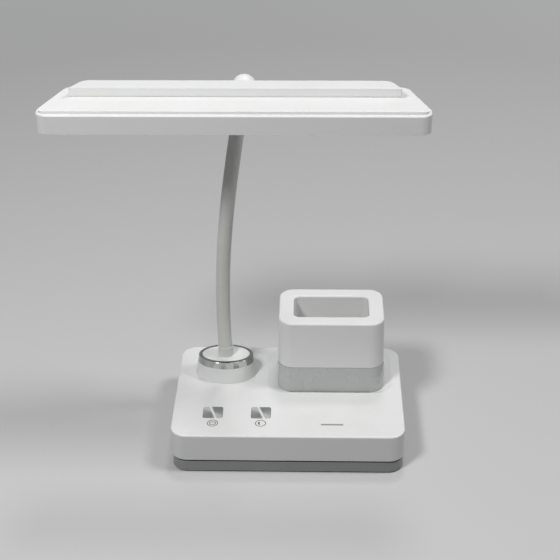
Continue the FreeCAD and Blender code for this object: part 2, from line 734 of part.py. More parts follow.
# ---------------------------------------------------------------- drawer
def drawer_tray():
    """Shallow tray whose front wraps both front corners of the lower tier."""
    side = TIER_WIDTH / 2
    wrap_rear = RAIL_FRONT - RUN
    front = prism(outline([(-side, TIER_FRONT, TIER_CORNER), (side, TIER_FRONT, TIER_CORNER),
                           (side, wrap_rear, WRAP_CORNER), (-side, wrap_rear, WRAP_CORNER)],
                          TIER_BOTTOM), TIER_HEIGHT)
    back = box(-TRAY_SIDE, TRAY_SIDE, wrap_rear - PAST, TRAY_REAR, TRAY_BOTTOM, TRAY_TOP)
    reach = TRAY_SIDE + TONGUE_REACH
    tongue = box(-reach, reach, RAIL_FRONT + SLIP, TRAY_REAR,
                 TONGUE_Z - TONGUE_THICK / 2, TONGUE_Z + TONGUE_THICK / 2)
    space = slab(2 * (TRAY_SIDE - DRAWER_WALL), TRAY_REAR - TIER_FRONT - 2 * DRAWER_WALL,
                 TRAY_CORNER, TRAY_BOTTOM + DRAWER_FLOOR, TIER_TOP + PAST,
                 0.0, (TRAY_REAR + TIER_FRONT) / 2)
    grip = slab(GRIP_WIDTH, GRIP_DEPTH, GRIP_DEPTH / 3, TIER_BOTTOM - PAST,
                TIER_BOTTOM + GRIP_RISE, 0.0, TIER_FRONT + GRIP_LIP + GRIP_DEPTH / 2)
    return cut(join([front, back, tongue]), [space, grip])


def drawer_stops():
    """Pads on the rear ends of the tongues; they meet the ledges of the rails."""
    inner = TRAY_SIDE + TONGUE_REACH
    return Part.makeCompound([box(side * inner, side * (inner + STOP_REACH),
                                  TRAY_REAR - STOP_LENGTH, TRAY_REAR,
                                  TONGUE_Z - TONGUE_THICK / 2, TONGUE_Z + TONGUE_THICK / 2)
                              for side in (-1, 1)])


# ---------------------------------------------------------------- buttons
def button_cap(x):
    """Plastic cap in the roof: body, retaining flange and plunger."""
    plate_low = BASE_TOP + BUTTON_PROUD - PLATE_THICK
    body = slab(BUTTON_WIDTH, BUTTON_DEPTH, BUTTON_CORNER, CAP_UNDER, plate_low, x, BUTTON_Y)
    flange = slab(BUTTON_WIDTH + 2 * CAP_FLANGE, BUTTON_DEPTH + 2 * CAP_FLANGE,
                  BUTTON_CORNER + CAP_FLANGE, CAP_UNDER, CAP_UNDER + CAP_FLANGE_THICK, x, BUTTON_Y)
    plunger = post(x, BUTTON_Y, PLUNGER_RADIUS, BOARD_TOP + SWITCH_HEIGHT - PLUNGER_ENTRY,
                   CAP_UNDER + OVERLAP)
    return join([body, flange, plunger])


def button_plate(x):
    """Metal plate on top of the cap."""
    top = BASE_TOP + BUTTON_PROUD
    plate = slab(BUTTON_WIDTH, BUTTON_DEPTH, BUTTON_CORNER, top - PLATE_THICK, top, x, BUTTON_Y)
    return soften(plate, top, PLATE_EDGE)


# ---------------------------------------------------------------- pod
def pod_oval(z, inset=0.0):
    """Outline of the pod at height z, drawn in by inset."""
    narrower = 2 * POD_FLARE * (z - BASE_TOP) / POD_HEIGHT + 2 * inset
    return ellipse(POD_WIDTH - narrower, POD_DEPTH - narrower, z)


def pod_solid(low, high, inset=0.0):
    """Part of the pod's cone between two heights."""
    return Part.makeLoft([pod_oval(low, inset), pod_oval(high, inset)], True, True)


def pod_cone():
    """White oval cone: a thin skin, with a boss for the stud in its middle."""
    skin = cut(pod_solid(BASE_TOP, RING_BOTTOM), [pod_solid(BASE_TOP, RING_BOTTOM - POD_WALL, POD_WALL)])
    boss = post(POD_X, ROW_Y, STUD_RADIUS + STUD_BOSS_WALL, BASE_TOP, RING_BOTTOM)
    hole = post(POD_X, ROW_Y, STUD_RADIUS + SLIP, BASE_TOP - PAST, RING_BOTTOM + PAST)
    return cut(join([skin, boss]), [hole])


def pod_ring():
    """Bright trim ring round the top of the pod."""
    outer = soften(pod_solid(RING_BOTTOM, POD_TOP), POD_TOP, RING_EDGE)
    hole = pod_oval(POD_TOP, RING_WALL)
    hole.translate(V(0, 0, -RING_HEIGHT - PAST))
    return cut(outer, [prism(hole, RING_HEIGHT + 2 * PAST)])


def pod_disc():
    """White oval disc inside the ring, on a spacer that stands on the cone."""
    under = POD_TOP - DISC_THICK
    wire = pod_oval(POD_TOP, RING_WALL + SLIP)
    wire.translate(V(0, 0, -DISC_THICK))
    spacer = post(POD_X, ROW_Y, STUD_RADIUS + STUD_BOSS_WALL, RING_BOTTOM, under + OVERLAP)
    hole = post(POD_X, ROW_Y, STUD_RADIUS + SLIP, RING_BOTTOM - PAST, POD_TOP + PAST)
    return cut(join([prism(wire, DISC_THICK), spacer]), [hole])


# ---------------------------------------------------------------- pen holder
def holder_outline(z, inset=0.0):
    """Outline of the tapered holder at height z, drawn in by inset."""
    return holder_foot(z, -inset - (z - BASE_TOP) * tan(radians(HOLDER_DRAFT)))


def holder_solid(low, high, inset=0.0):
    """Part of the holder's outside between two heights."""
    return Part.makeLoft([holder_outline(low, inset), holder_outline(high, inset)], True, True)


def holder_plinth():
    """Grey lower part of the holder, with a floor and two screw bosses."""
    skin = cut(holder_solid(SEAT_FLOOR, PLINTH_TOP - SEAM_GAP),
               [holder_solid(SEAT_FLOOR + CUP_FLOOR, PLINTH_TOP + PAST, CUP_WALL)])
    boss_top = SEAT_FLOOR + HOLDER_BOSS_HEIGHT
    bosses = [post(x, y, BOSS_RADIUS, SEAT_FLOOR + CUP_FLOOR - OVERLAP, boss_top)
              for x, y in holder_screw_places()]
    return cut(join([skin] + bosses),
               [post(x, y, SCREW_RADIUS + SNUG, SEAT_FLOOR - PAST, boss_top - CUP_FLOOR)
                for x, y in holder_screw_places()])


def holder_cup():
    """White upper part: outer skin, broad flat rim and a deep well for pens."""
    skin = cut(holder_solid(PLINTH_TOP, HOLDER_TOP),
               [holder_solid(PLINTH_TOP - PAST, HOLDER_TOP - CUP_WALL, CUP_WALL)])
    tube = slab(WELL_WIDTH + 2 * CUP_WALL, WELL_DEPTH + 2 * CUP_WALL, WELL_CORNER + CUP_WALL,
                WELL_FLOOR - CUP_FLOOR, HOLDER_TOP - OVERLAP, HOLDER_X, HOLDER_Y)
    core = holder_solid(PLINTH_TOP - SEAM_LIP - PAST, PLINTH_TOP + 2 * PAST, 2 * CUP_WALL)
    lip = cut(holder_solid(PLINTH_TOP - SEAM_LIP, PLINTH_TOP + PAST, CUP_WALL + SLIP), [core])
    ledge = cut(holder_solid(PLINTH_TOP, PLINTH_TOP + PAST, CUP_WALL / 2), [core])
    well = slab(WELL_WIDTH, WELL_DEPTH, WELL_CORNER, WELL_FLOOR, HOLDER_TOP + PAST, HOLDER_X, HOLDER_Y)
    return soften(cut(join([skin, tube, lip, ledge]), [well]), HOLDER_TOP, RIM_EDGE)


def holder_screws():
    """Screws up through the roof into the plinth."""
    reach = SHELL_ROOF + HOLDER_BOSS_HEIGHT - 2 * CUP_FLOOR
    return Part.makeCompound([screw(x, y, SEAT_UNDER - SCREW_HEAD_THICK, reach)
                              for x, y in holder_screw_places()])


# ---------------------------------------------------------------- neck
def neck_point(t):
    """Point of the neck's curve, from its foot at t = 0 to the ferrule at t = 1."""
    low_handle = NECK_FOOT + V(-FOOT_BOW_LEFT, FOOT_BOW_BACK, FOOT_REACH)
    high_handle = FERRULE - NECK_END_WAY * TOP_REACH
    return (NECK_FOOT * (1 - t) ** 3 + low_handle * (3 * (1 - t) ** 2 * t)
            + high_handle * (3 * (1 - t) * t ** 2) + FERRULE * t ** 3)


def link_line(index):
    """Start, direction and length of one link; the last runs up to the ferrule's mouth."""
    start = neck_point(index / LINKS)
    span = neck_point((index + 1) / LINKS) - start
    length = span.Length
    if is_last(index):
        length -= FERRULE_LENGTH
    return start, span.normalize(), length


def is_last(index):
    """Whether this is the link that carries the ferrule."""
    return index + 1 == LINKS


def neck_sleeve(index):
    """Outer sleeve of one link: a ball at its lower end, a socket at its upper end."""
    start, way, length = link_line(index)
    if index == 0:
        body = cut(rod(start, way, NECK_RADIUS, 0, length), [level_below(POD_TOP + FLANGE_THICK)])
    else:
        body = join([rod(start, way, NECK_RADIUS, 0, length), Part.makeSphere(NECK_RADIUS, start)])
    tools = [rod(start, way, CORE_RADIUS + SNUG, -2 * NECK_RADIUS, length + PAST)]
    if not is_last(index):
        end = start + way * length
        tools.append(rod(end, way, NECK_RADIUS + PAST, -SOCKET_LIP, SOCKET_RADIUS))
        tools.append(Part.makeSphere(SOCKET_RADIUS, end))
    return cut(body, tools)


def core_end(index):
    """How far up its link a steel core reaches."""
    length = link_line(index)[2]
    if is_last(index):
        return length + FERRULE_LENGTH / 2
    return length - SOCKET_RADIUS - SLIP


def neck_core(index):
    """Steel inner tube of one link, with the way for the lead through it."""
    start, way, length = link_line(index)
    low = SLIP - sqrt(NECK_RADIUS ** 2 - CORE_RADIUS ** 2)
    high = core_end(index)
    return cut(rod(start, way, CORE_RADIUS, low, high),
               [rod(start, way, LEAD_RADIUS, low - PAST, high + PAST)])


def level_below(z):
    """Everything below height z round the neck's foot."""
    reach = 3 * NECK_RADIUS
    return box(POD_X - reach, POD_X + reach, ROW_Y - reach, ROW_Y + reach, z - reach, z)


def neck_stud():
    """Threaded foot of the neck: a tube through pod and roof, a flange, and a spigot above."""
    start, way, length = link_line(0)
    low = ROOF_UNDER - NUT_THICK - STUD_SPARE
    middle = POD_TOP + FLANGE_THICK / 2
    tube = post(POD_X, ROW_Y, STUD_RADIUS, low, middle)
    flange = post(POD_X, ROW_Y, NECK_RADIUS - SLIP, POD_TOP, POD_TOP + FLANGE_THICK)
    spigot = rod(start, way, CORE_RADIUS, OVERLAP, core_end(0))
    bore = post(POD_X, ROW_Y, LEAD_RADIUS, low - PAST, POD_TOP)
    chamber = post(POD_X, ROW_Y, LEAD_RADIUS + OVERLAP, POD_TOP - OVERLAP, POD_TOP + PAST)
    upper_bore = rod(start, way, LEAD_RADIUS, OVERLAP, length)
    return cut(join([tube, flange, spigot]), [bore, chamber, upper_bore])


def neck_nut():
    """Hexagon nut under the roof."""
    radius = NUT_ACROSS / sqrt(3)
    low = ROOF_UNDER - NUT_THICK
    corners = [(POD_X + radius * cos(i * pi / 3), ROW_Y + radius * sin(i * pi / 3), NUT_CORNER)
               for i in range(6)]
    return cut(prism(outline(corners, low), NUT_THICK),
               [post(POD_X, ROW_Y, STUD_RADIUS + SNUG, low - PAST, ROOF_UNDER + PAST)])


def neck_collar():
    """Short cover ring where the neck meets the disc."""
    start, way, length = link_line(0)
    inner = NECK_RADIUS + SNUG
    ring = cut(rod(start, way, inner + COLLAR_WALL, -NECK_RADIUS, COLLAR_HEIGHT),
               [rod(start, way, inner, -2 * NECK_RADIUS, COLLAR_HEIGHT + PAST)])
    return cut(ring, [level_below(POD_TOP)])


def neck_ferrule():
    """Round-topped barrel on the end of the neck, with the hinge tongue on its front."""
    start, way, length = link_line(LINKS - 1)
    mouth = FERRULE - way * FERRULE_LENGTH
    barrel = rod(mouth, way, FERRULE_RADIUS, 0, FERRULE_LENGTH)
    rim = [edge for edge in barrel.Edges if (edge.CenterOfMass - mouth).Length < 1]
    barrel = barrel.makeFillet(FERRULE_EDGE, rim)
    dome = Part.makeSphere(FERRULE_RADIUS, FERRULE)
    half = TONGUE_WIDTH / 2
    arm = box(HINGE.x - half, HINGE.x + half, HINGE_Y, FERRULE.y,
              HINGE_Z - HINGE_EYE, HINGE_Z + HINGE_EYE)
    eye = rod(HINGE, X_AXIS, HINGE_EYE, -half, half)
    pin_hole = rod(HINGE, X_AXIS, PIN_RADIUS + SNUG, -half - PAST, half + PAST)
    core_hole = rod(mouth, way, CORE_RADIUS + SNUG, -PAST, FERRULE_LENGTH / 2 + SLIP)
    return cut(join([barrel, dome, arm, eye]), [pin_hole, core_hole])


# ---------------------------------------------------------------- head
def head_outline(z, inset=0.0):
    """Plan of the head: its ends draw in towards the rear."""
    front_half = HEAD_WIDTH / 2 - inset
    rear_half = front_half - HEAD_TAPER
    front = HEAD_FRONT + inset
    rear = HEAD_REAR - inset
    corner = HEAD_FRONT_CORNER - inset
    rear_corner = HEAD_REAR_CORNER - inset
    shoulder = HEAD_FRONT + HEAD_SHOULDER
    return outline([(HEAD_X - front_half, front, corner), (HEAD_X + front_half, front, corner),
                    (HEAD_X + front_half, shoulder, 0.0), (HEAD_X + rear_half, rear, rear_corner),
                    (HEAD_X - rear_half, rear, rear_corner), (HEAD_X - front_half, shoulder, 0.0)],
                   z)


def bezel_screw_places():
    """Where the bezel is screwed to the housing."""
    room = HEAD_WALL + BOSS_RADIUS + BOSS_SPARE
    front = HEAD_FRONT + HEAD_FRONT_CORNER
    rear = HEAD_REAR - room - BOSS_SPARE
    front_half = HEAD_WIDTH / 2 - room
    rear_half = HEAD_WIDTH / 2 - HEAD_TAPER - room - BOSS_SPARE
    return [(HEAD_X - front_half, front), (HEAD_X + front_half, front),
            (HEAD_X - rear_half, rear), (HEAD_X + rear_half, rear)]


def notch(grow=0.0):
    """Gap in the rear of the head where the hinge sits."""
    reach = HEAD_HEIGHT
    return box(HINGE.x - NOTCH_HALF - grow, HINGE.x + NOTCH_HALF + grow, NOTCH_FRONT - grow,
               HEAD_REAR + reach, HEAD_BOTTOM - reach, HEAD_TOP + reach)


def bracket_screw_places():
    """Centres of the two screws through the hinge bracket, at the front of the notch."""
    out = EAR_OUTER + SCREW_RADIUS
    return [V(HINGE.x + side * out, NOTCH_FRONT, HINGE_Z) for side in (-1, 1)]


def head_housing():
    """White bar-shaped housing, open below, with the hinge notch in its rear."""
    body = soften(prism(head_outline(HEAD_BOTTOM), HEAD_HEIGHT), HEAD_TOP, HEAD_EDGE)
    inside = prism(head_outline(HEAD_BOTTOM - PAST, HEAD_WALL), HEAD_HEIGHT - HEAD_WALL + PAST)
    body = cut(body, [notch(), cut(inside, [notch(HEAD_WALL)])])
    bosses = [post(x, y, BOSS_RADIUS, BEZEL_TOP, SPREADER_TOP + OVERLAP)
              for x, y in bezel_screw_places()]
    tools = [post(x, y, SCREW_RADIUS + SNUG, BEZEL_TOP - PAST, SPREADER_TOP - OVERLAP)
             for x, y in bezel_screw_places()]
    tools += [rod(place, Y_AXIS, SCREW_RADIUS + SLIP, -HEAD_WALL - PAST, PAST)
              for place in bracket_screw_places()]
    return cut(join([body] + bosses), tools)


def head_panel():
    """Raised top plate in front of the ridge, its ends cut slantwise towards the rear."""
    half = HEAD_WIDTH / 2 - PANEL_END_RIM
    rear = RIDGE_FRONT - SNUG
    shoulder = PANEL_FRONT + PANEL_SHOULDER
    rear_half = half - PANEL_TAPER
    wire = outline([(HEAD_X - half, PANEL_FRONT, PANEL_FRONT_CORNER),
                    (HEAD_X + half, PANEL_FRONT, PANEL_FRONT_CORNER),
                    (HEAD_X + half, shoulder, PANEL_SHOULDER_CORNER),
                    (HEAD_X + rear_half, rear, PANEL_REAR_CORNER),
                    (HEAD_X - rear_half, rear, PANEL_REAR_CORNER),
                    (HEAD_X - half, shoulder, PANEL_SHOULDER_CORNER)], HEAD_TOP)
    return soften(prism(wire, PANEL_RISE), HEAD_TOP + PANEL_RISE, PANEL_EDGE)


def ridge_solid(inset, low, front_top):
    """Body of the ridge, its ends and its top falling away to the rear, drawn in by inset."""
    half = RIDGE_WIDTH / 2 - inset
    front = RIDGE_FRONT + inset
    rear = RIDGE_REAR - inset
    rear_half = half - RIDGE_TAPER
    wire = outline([(HEAD_X - half, front, RIDGE_FRONT_CORNER),
                    (HEAD_X + half, front, RIDGE_FRONT_CORNER),
                    (HEAD_X + rear_half, rear, RIDGE_CORNER - inset),
                    (HEAD_X - rear_half, rear, RIDGE_CORNER - inset)], low)
    body = prism(wire, front_top - low)
    left = HEAD_X - half - PAST
    rear_top = front_top - RIDGE_FALL * (rear + PAST - front) / RIDGE_DEPTH
    above = [V(left, front, front_top), V(left, front, front_top + PAST),
             V(left, rear + PAST, front_top + PAST), V(left, rear + PAST, rear_top)]
    wedge = Part.Face(Part.makePolygon(above + above[:1]))
    return cut(body, [wedge.extrude(V(2 * (half + PAST), 0, 0))])


def head_ridge():
    """Hollow spine along the rear of the head's top."""
    top = HEAD_TOP + RIDGE_RISE
    return cut(ridge_solid(0.0, HEAD_TOP, top),
               [ridge_solid(HEAD_WALL, HEAD_TOP - PAST, top - HEAD_WALL)])


def window(grow, low, high):
    """Block with the light window's outline, let out by grow."""
    return slab(WINDOW_WIDTH + 2 * grow, WINDOW_DEPTH + 2 * grow, WINDOW_CORNER + grow, low, high,
                HEAD_X, WINDOW_Y)


def head_bezel():
    """Frame that closes the head from below and carries the diffuser."""
    plate = prism(head_outline(BEZEL_BOTTOM, HEAD_WALL + SLIP), BEZEL_THICK)
    through = (BEZEL_BOTTOM - PAST, BEZEL_TOP + PAST)
    tools = [notch(HEAD_WALL + SLIP), window(0.0, *through)]
    tools += [post(x, y, SCREW_RADIUS + SLIP, *through) for x, y in bezel_screw_places()]
    tools += [post(x, y, SCREW_HEAD + SLIP, BEZEL_BOTTOM - PAST, BEZEL_BOTTOM + FLAT_HEAD_THICK)
              for x, y in bezel_screw_places()]
    return cut(plate, tools)


def diffuser():
    """Opal plate laid over the window."""
    return window(DIFFUSER_LAP, BEZEL_TOP, DIFFUSER_TOP)


def reflector():
    """White frame that stands on the diffuser round the lights."""
    return cut(window(REFLECTOR_LAP, DIFFUSER_TOP, LED_BOARD_UNDER),
               [window(REFLECTOR_LAP - REFLECTOR_WALL, DIFFUSER_TOP - PAST, LED_BOARD_UNDER + PAST)])


def heat_spreader():
    """Aluminium plate under the roof of the housing."""
    return window(SPREADER_LAP, LED_BOARD_TOP, SPREADER_TOP)


def led_board():
    """Strip board that carries the lights."""
    return window(REFLECTOR_LAP, LED_BOARD_UNDER, LED_BOARD_TOP)


def led_chips():
    """Rows of lights under the board."""
    per_row = LED_COUNT // LED_ROWS
    pitch = (WINDOW_WIDTH - 2 * LED_END_SPACE) / (per_row - 1)
    half = LED_SIZE / 2
    chips = []
    for row in range(LED_ROWS):
        y = WINDOW_Y + WINDOW_DEPTH * ((row + 0.5) / LED_ROWS - 0.5)
        for i in range(per_row):
            x = HEAD_X + (i - (per_row - 1) / 2) * pitch
            chips.append(box(x - half, x + half, y - half, y + half,
                             LED_BOARD_UNDER - LED_THICK, LED_BOARD_UNDER))
    return Part.makeCompound(chips)


def head_screws():
    """Screws of the bezel and, inside, of the hinge bracket."""
    screws = [flat_screw(x, y, BEZEL_BOTTOM, BEZEL_TOP + SCREW_BITE) for x, y in bezel_screw_places()]
    for place in bracket_screw_places():
        inner = place - Y_AXIS * HEAD_WALL
        screws.append(join([rod(inner, Y_AXIS, SCREW_HEAD, -SCREW_HEAD_THICK, 0),
                            rod(inner, Y_AXIS, SCREW_RADIUS, -SCREW_HEAD_THICK,
                                HEAD_WALL + BRACKET_PLATE - BALL_GAP)]))
    return Part.makeCompound(screws)


def hinge_bracket():
    """Metal fork in the notch: a plate and two ears."""
    half = NOTCH_HALF - BRACKET_SIDE_GAP
    pieces = [box(HINGE.x - half, HINGE.x + half, NOTCH_FRONT, NOTCH_FRONT + BRACKET_PLATE,
                  HINGE_Z - BRACKET_HEIGHT / 2, HINGE_Z + BRACKET_HEIGHT / 2)]
    for side in (-1, 1):
        low = min(side * EAR_INNER, side * EAR_OUTER)
        pieces.append(box(HINGE.x + low, HINGE.x + low + EAR_THICK, NOTCH_FRONT + PAST, HINGE_Y,
                          HINGE_Z - HINGE_EYE, HINGE_Z + HINGE_EYE))
        pieces.append(rod(HINGE, X_AXIS, HINGE_EYE, low, low + EAR_THICK))
    tools = [rod(HINGE, X_AXIS, PIN_RADIUS + SNUG, -EAR_OUTER - PAST, EAR_OUTER + PAST)]
    tools += [rod(place, Y_AXIS, SCREW_RADIUS + SNUG, -PAST, BRACKET_PLATE + PAST)
              for place in bracket_screw_places()]
    return cut(join(pieces), tools)


def hinge_pin():
    """Riveted pin with a head at each end."""
    near = EAR_OUTER + SNUG
    far = EAR_OUTER + PIN_HEAD
    return join([rod(HINGE, X_AXIS, PIN_RADIUS, -near - OVERLAP, near + OVERLAP),
                 rod(HINGE, X_AXIS, PIN_RADIUS + PIN_HEAD, near, far),
                 rod(HINGE, X_AXIS, PIN_RADIUS + PIN_HEAD, -far, -near)])


def friction_washers():
    """Thin washers between the ears and the tongue."""
    washers = []
    for side in (-1, 1):
        middle = side * (TONGUE_WIDTH / 2 + EAR_INNER) / 2
        near = middle - WASHER_THICK / 2
        far = middle + WASHER_THICK / 2
        washers.append(cut(rod(HINGE, X_AXIS, HINGE_EYE - WASHER_EASE, near, far),
                           [rod(HINGE, X_AXIS, PIN_RADIUS + SNUG, near - PAST, far + PAST)]))
    return Part.makeCompound(washers)


# ---------------------------------------------------------------- write the nodes
os.makedirs("parts", exist_ok=True)

for piece in (base_shell, shell_floor, drawer_chassis, rubber_feet, chassis_screws, floor_screws,
              ballast_plate, main_board, board_screws, tact_switches, indicator_led,
              indicator_lens, battery_holder, battery_cells, inlet_board, power_inlet,
              drawer_tray, drawer_stops, pod_cone, pod_ring, pod_disc,
              holder_plinth, holder_cup, holder_screws,
              neck_stud, neck_nut, neck_collar, neck_ferrule,
              head_housing, head_panel, head_ridge, head_bezel, diffuser, reflector,
              heat_spreader, led_board, led_chips, head_screws,
              hinge_bracket, hinge_pin, friction_washers):
    save(piece.__name__, piece())

for label, place in (("power", POWER_X), ("dimmer", DIMMER_X)):
    save(label + "_button_cap", button_cap(place))
    save(label + "_button_plate", button_plate(place))

for number in range(LINKS):
    save("neck_sleeve_" + str(number), neck_sleeve(number))
    if number > 0:
        save("neck_core_" + str(number), neck_core(number))
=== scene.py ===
"""Desk lamp with a pen holder: its finishes, the smooth skin of its neck and the two printed marks."""
import json
import math

import bmesh
import bpy
from mathutils import Matrix, Vector


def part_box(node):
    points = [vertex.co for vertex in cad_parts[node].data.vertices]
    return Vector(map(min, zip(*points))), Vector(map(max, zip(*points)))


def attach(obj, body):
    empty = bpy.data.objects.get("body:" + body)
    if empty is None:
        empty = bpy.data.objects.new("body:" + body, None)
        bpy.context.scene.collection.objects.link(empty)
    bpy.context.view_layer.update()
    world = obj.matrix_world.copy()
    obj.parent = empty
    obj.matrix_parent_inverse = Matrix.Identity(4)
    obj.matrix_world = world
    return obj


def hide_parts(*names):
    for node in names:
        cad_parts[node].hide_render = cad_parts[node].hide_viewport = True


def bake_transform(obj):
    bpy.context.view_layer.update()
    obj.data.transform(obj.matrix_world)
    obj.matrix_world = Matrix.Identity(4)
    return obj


MM = 0.001

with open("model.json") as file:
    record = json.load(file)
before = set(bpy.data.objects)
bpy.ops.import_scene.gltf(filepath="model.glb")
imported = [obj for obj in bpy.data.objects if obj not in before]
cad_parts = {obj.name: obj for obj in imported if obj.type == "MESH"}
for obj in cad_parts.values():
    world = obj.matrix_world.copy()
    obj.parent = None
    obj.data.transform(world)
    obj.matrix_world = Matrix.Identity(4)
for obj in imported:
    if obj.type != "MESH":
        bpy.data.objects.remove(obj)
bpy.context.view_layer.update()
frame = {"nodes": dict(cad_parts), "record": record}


# ---------------------------------------------------------------- camera
CAMERA_PLACE = (0.0210, -0.9912, 0.7181)
CAMERA_PITCH = math.radians(29.8)
CAMERA_YAW = math.radians(-1.62)
CAMERA_ROLL = math.radians(-0.47)
CAMERA_LENS = 86.79
CAMERA_SENSOR = 36.0
CLIP_NEAR, CLIP_FAR = 0.05, 50.0


def set_camera():
    """Looks down on the lamp from the front, a little to the right of its middle."""
    pitch, yaw, roll = CAMERA_PITCH, CAMERA_YAW, CAMERA_ROLL
    ahead = Vector((math.sin(yaw) * math.cos(pitch), math.cos(yaw) * math.cos(pitch), -math.sin(pitch)))
    right = Vector((math.cos(yaw), -math.sin(yaw), 0))
    up = right.cross(ahead)
    side = right * math.cos(roll) + up * math.sin(roll)
    top = up * math.cos(roll) - right * math.sin(roll)
    data = bpy.data.cameras.new("camera")
    data.lens, data.sensor_width, data.sensor_fit = CAMERA_LENS, CAMERA_SENSOR, "HORIZONTAL"
    data.clip_start, data.clip_end = CLIP_NEAR, CLIP_FAR
    camera = bpy.data.objects.new("camera", data)
    turn = Matrix((side, top, -ahead)).transposed()
    camera.matrix_world = Matrix.Translation(CAMERA_PLACE) @ turn.to_4x4()
    bpy.context.scene.collection.objects.link(camera)
    bpy.context.scene.camera = camera


set_camera()


# ---------------------------------------------------------------- node helpers
def put(tree, kind, **settings):
    """Adds one node with its settings."""
    made = tree.nodes.new(kind)
    for name, value in settings.items():
        setattr(made, name, value)
    return made


def feed(tree, socket, value):
    """Sets a socket to a number or colour, or wires another socket to it."""
    if isinstance(value, bpy.types.NodeSocket):
        tree.links.new(value, socket)
    else:
        socket.default_value = value


def sum_of(tree, operation, first, second=0.0, third=0.0, clamp=False):
    """One Math node."""
    made = put(tree, "ShaderNodeMath", operation=operation, use_clamp=clamp)
    for socket, value in zip(made.inputs, (first, second, third)):
        feed(tree, socket, value)
    return made.outputs[0]


def ramp(tree, value, low, high, to_low=0.0, to_high=1.0):
    """Maps low..high to to_low..to_high and stops there."""
    made = put(tree, "ShaderNodeMapRange", clamp=True)
    for socket, number in zip(made.inputs, (value, low, high, to_low, to_high)):
        feed(tree, socket, number)
    return made.outputs[0]


def tint(tree, share, first, second):
    """Mixes two colours."""
    made = put(tree, "ShaderNodeMix", data_type="RGBA", clamp_factor=True)
    feed(tree, made.inputs["Factor"], share)
    feed(tree, made.inputs[6], first)
    feed(tree, made.inputs[7], second)
    return made.outputs[2]


def speckle(tree, place, scale, detail=2.0, rough=0.5):
    """One noise texture."""
    made = put(tree, "ShaderNodeTexNoise")
    feed(tree, made.inputs["Vector"], place)
    made.inputs["Scale"].default_value = scale
    made.inputs["Detail"].default_value = detail
    made.inputs["Roughness"].default_value = rough
    return made.outputs["Fac"]


def stretched(tree, place, scale):
    """A place with its three directions scaled apart."""
    made = put(tree, "ShaderNodeVectorMath", operation="MULTIPLY")
    feed(tree, made.inputs[0], place)
    feed(tree, made.inputs[1], scale)
    return made.outputs[0]


def own_place(tree):
    """The place on the object itself."""
    return put(tree, "ShaderNodeTexCoord").outputs["Object"]


def upward(tree):
    """How far the object's surface faces up."""
    facing = put(tree, "ShaderNodeSeparateXYZ")
    feed(tree, facing.inputs[0], put(tree, "ShaderNodeTexCoord").outputs["Normal"])
    return facing.outputs["Z"]


def new_effect(name, inputs, outputs):
    """Starts a node group; inputs and outputs are name, kind and first value."""
    tree = bpy.data.node_groups.new(name, "ShaderNodeTree")
    for label, kind, value in inputs:
        socket = tree.interface.new_socket(name=label, in_out="INPUT", socket_type="NodeSocket" + kind)
        socket.default_value = value
    for label, kind in outputs:
        tree.interface.new_socket(name=label, in_out="OUTPUT", socket_type="NodeSocket" + kind)
    source = tree.nodes.new("NodeGroupInput").outputs
    sink = tree.nodes.new("NodeGroupOutput").inputs
    return tree, source, sink


# ---------------------------------------------------------------- effects that finishes share
def effect_moulding():
    """Injection-moulded plastic: faint cloudiness, flow marks, a fine spark-eroded grain."""
    tree, source, sink = new_effect(
        "moulding",
        [("Tone", "Color", (0.8, 0.8, 0.8, 1)), ("Shade", "Color", (0.7, 0.7, 0.7, 1)),
         ("Gloss", "Float", 0.35), ("Grain", "Float", 0.5)],
        [("Colour", "Color"), ("Roughness", "Float"), ("Height", "Float")])
    place = own_place(tree)
    cloud = speckle(tree, place, 14.0, 3.0, 0.55)
    flow = speckle(tree, stretched(tree, place, (9.0, 60.0, 60.0)), 1.0, 2.0)
    share = sum_of(tree, "MULTIPLY_ADD", flow, 0.35, ramp(tree, cloud, 0.35, 0.7, 0.0, 0.5))
    feed(tree, sink["Colour"], tint(tree, share, source["Tone"], source["Shade"]))
    smudge = ramp(tree, speckle(tree, place, 38.0, 4.0, 0.6), 0.48, 0.72, 0.0, 0.09)
    rough = sum_of(tree, "ADD", source["Gloss"], smudge)
    feed(tree, sink["Roughness"], sum_of(tree, "MULTIPLY_ADD", flow, 0.04, rough))
    pits = speckle(tree, place, 1700.0, 2.0, 0.6)
    waves = sum_of(tree, "MULTIPLY", speckle(tree, place, 55.0, 1.0), 1.5)
    feed(tree, sink["Height"], sum_of(tree, "MULTIPLY_ADD", pits, source["Grain"], waves))
    return tree


def effect_edge_rub():
    """Where an edge stands out and is rubbed by hands and cloths; on plastic the same mask also lightens
    the edge as a painted edge highlight.
    """
    tree, source, sink = new_effect("edge_rub_and_highlight", [("Reach", "Float", 0.0006)], [("Mask", "Float")])
    soft = put(tree, "ShaderNodeBevel", samples=4)
    feed(tree, soft.inputs["Radius"], source["Reach"])
    plain = put(tree, "ShaderNodeNewGeometry")
    turn = put(tree, "ShaderNodeVectorMath", operation="DOT_PRODUCT")
    feed(tree, turn.inputs[0], soft.outputs["Normal"])
    feed(tree, turn.inputs[1], plain.outputs["Normal"])
    patchy = speckle(tree, own_place(tree), 210.0, 3.0, 0.65)
    worn = ramp(tree, turn.outputs["Value"], 0.995, 0.80)
    feed(tree, sink["Mask"], sum_of(tree, "MULTIPLY", worn, ramp(tree, patchy, 0.3, 0.65, 0.35, 1.0)))
    return tree


def effect_settled_dust():
    """A thin film of dust on what faces up."""
    tree, source, sink = new_effect("settled_dust", [("Amount", "Float", 0.2)], [("Mask", "Float")])
    up = ramp(tree, upward(tree), 0.55, 1.0)
    drift = ramp(tree, speckle(tree, own_place(tree), 26.0, 5.0, 0.7), 0.36, 0.74)
    motes = ramp(tree, speckle(tree, own_place(tree), 900.0, 1.0), 0.66, 0.74, 0.0, 0.7)
    film = sum_of(tree, "ADD", drift, motes)
    feed(tree, sink["Mask"], sum_of(tree, "MULTIPLY", sum_of(tree, "MULTIPLY", film, up), source["Amount"]))
    return tree


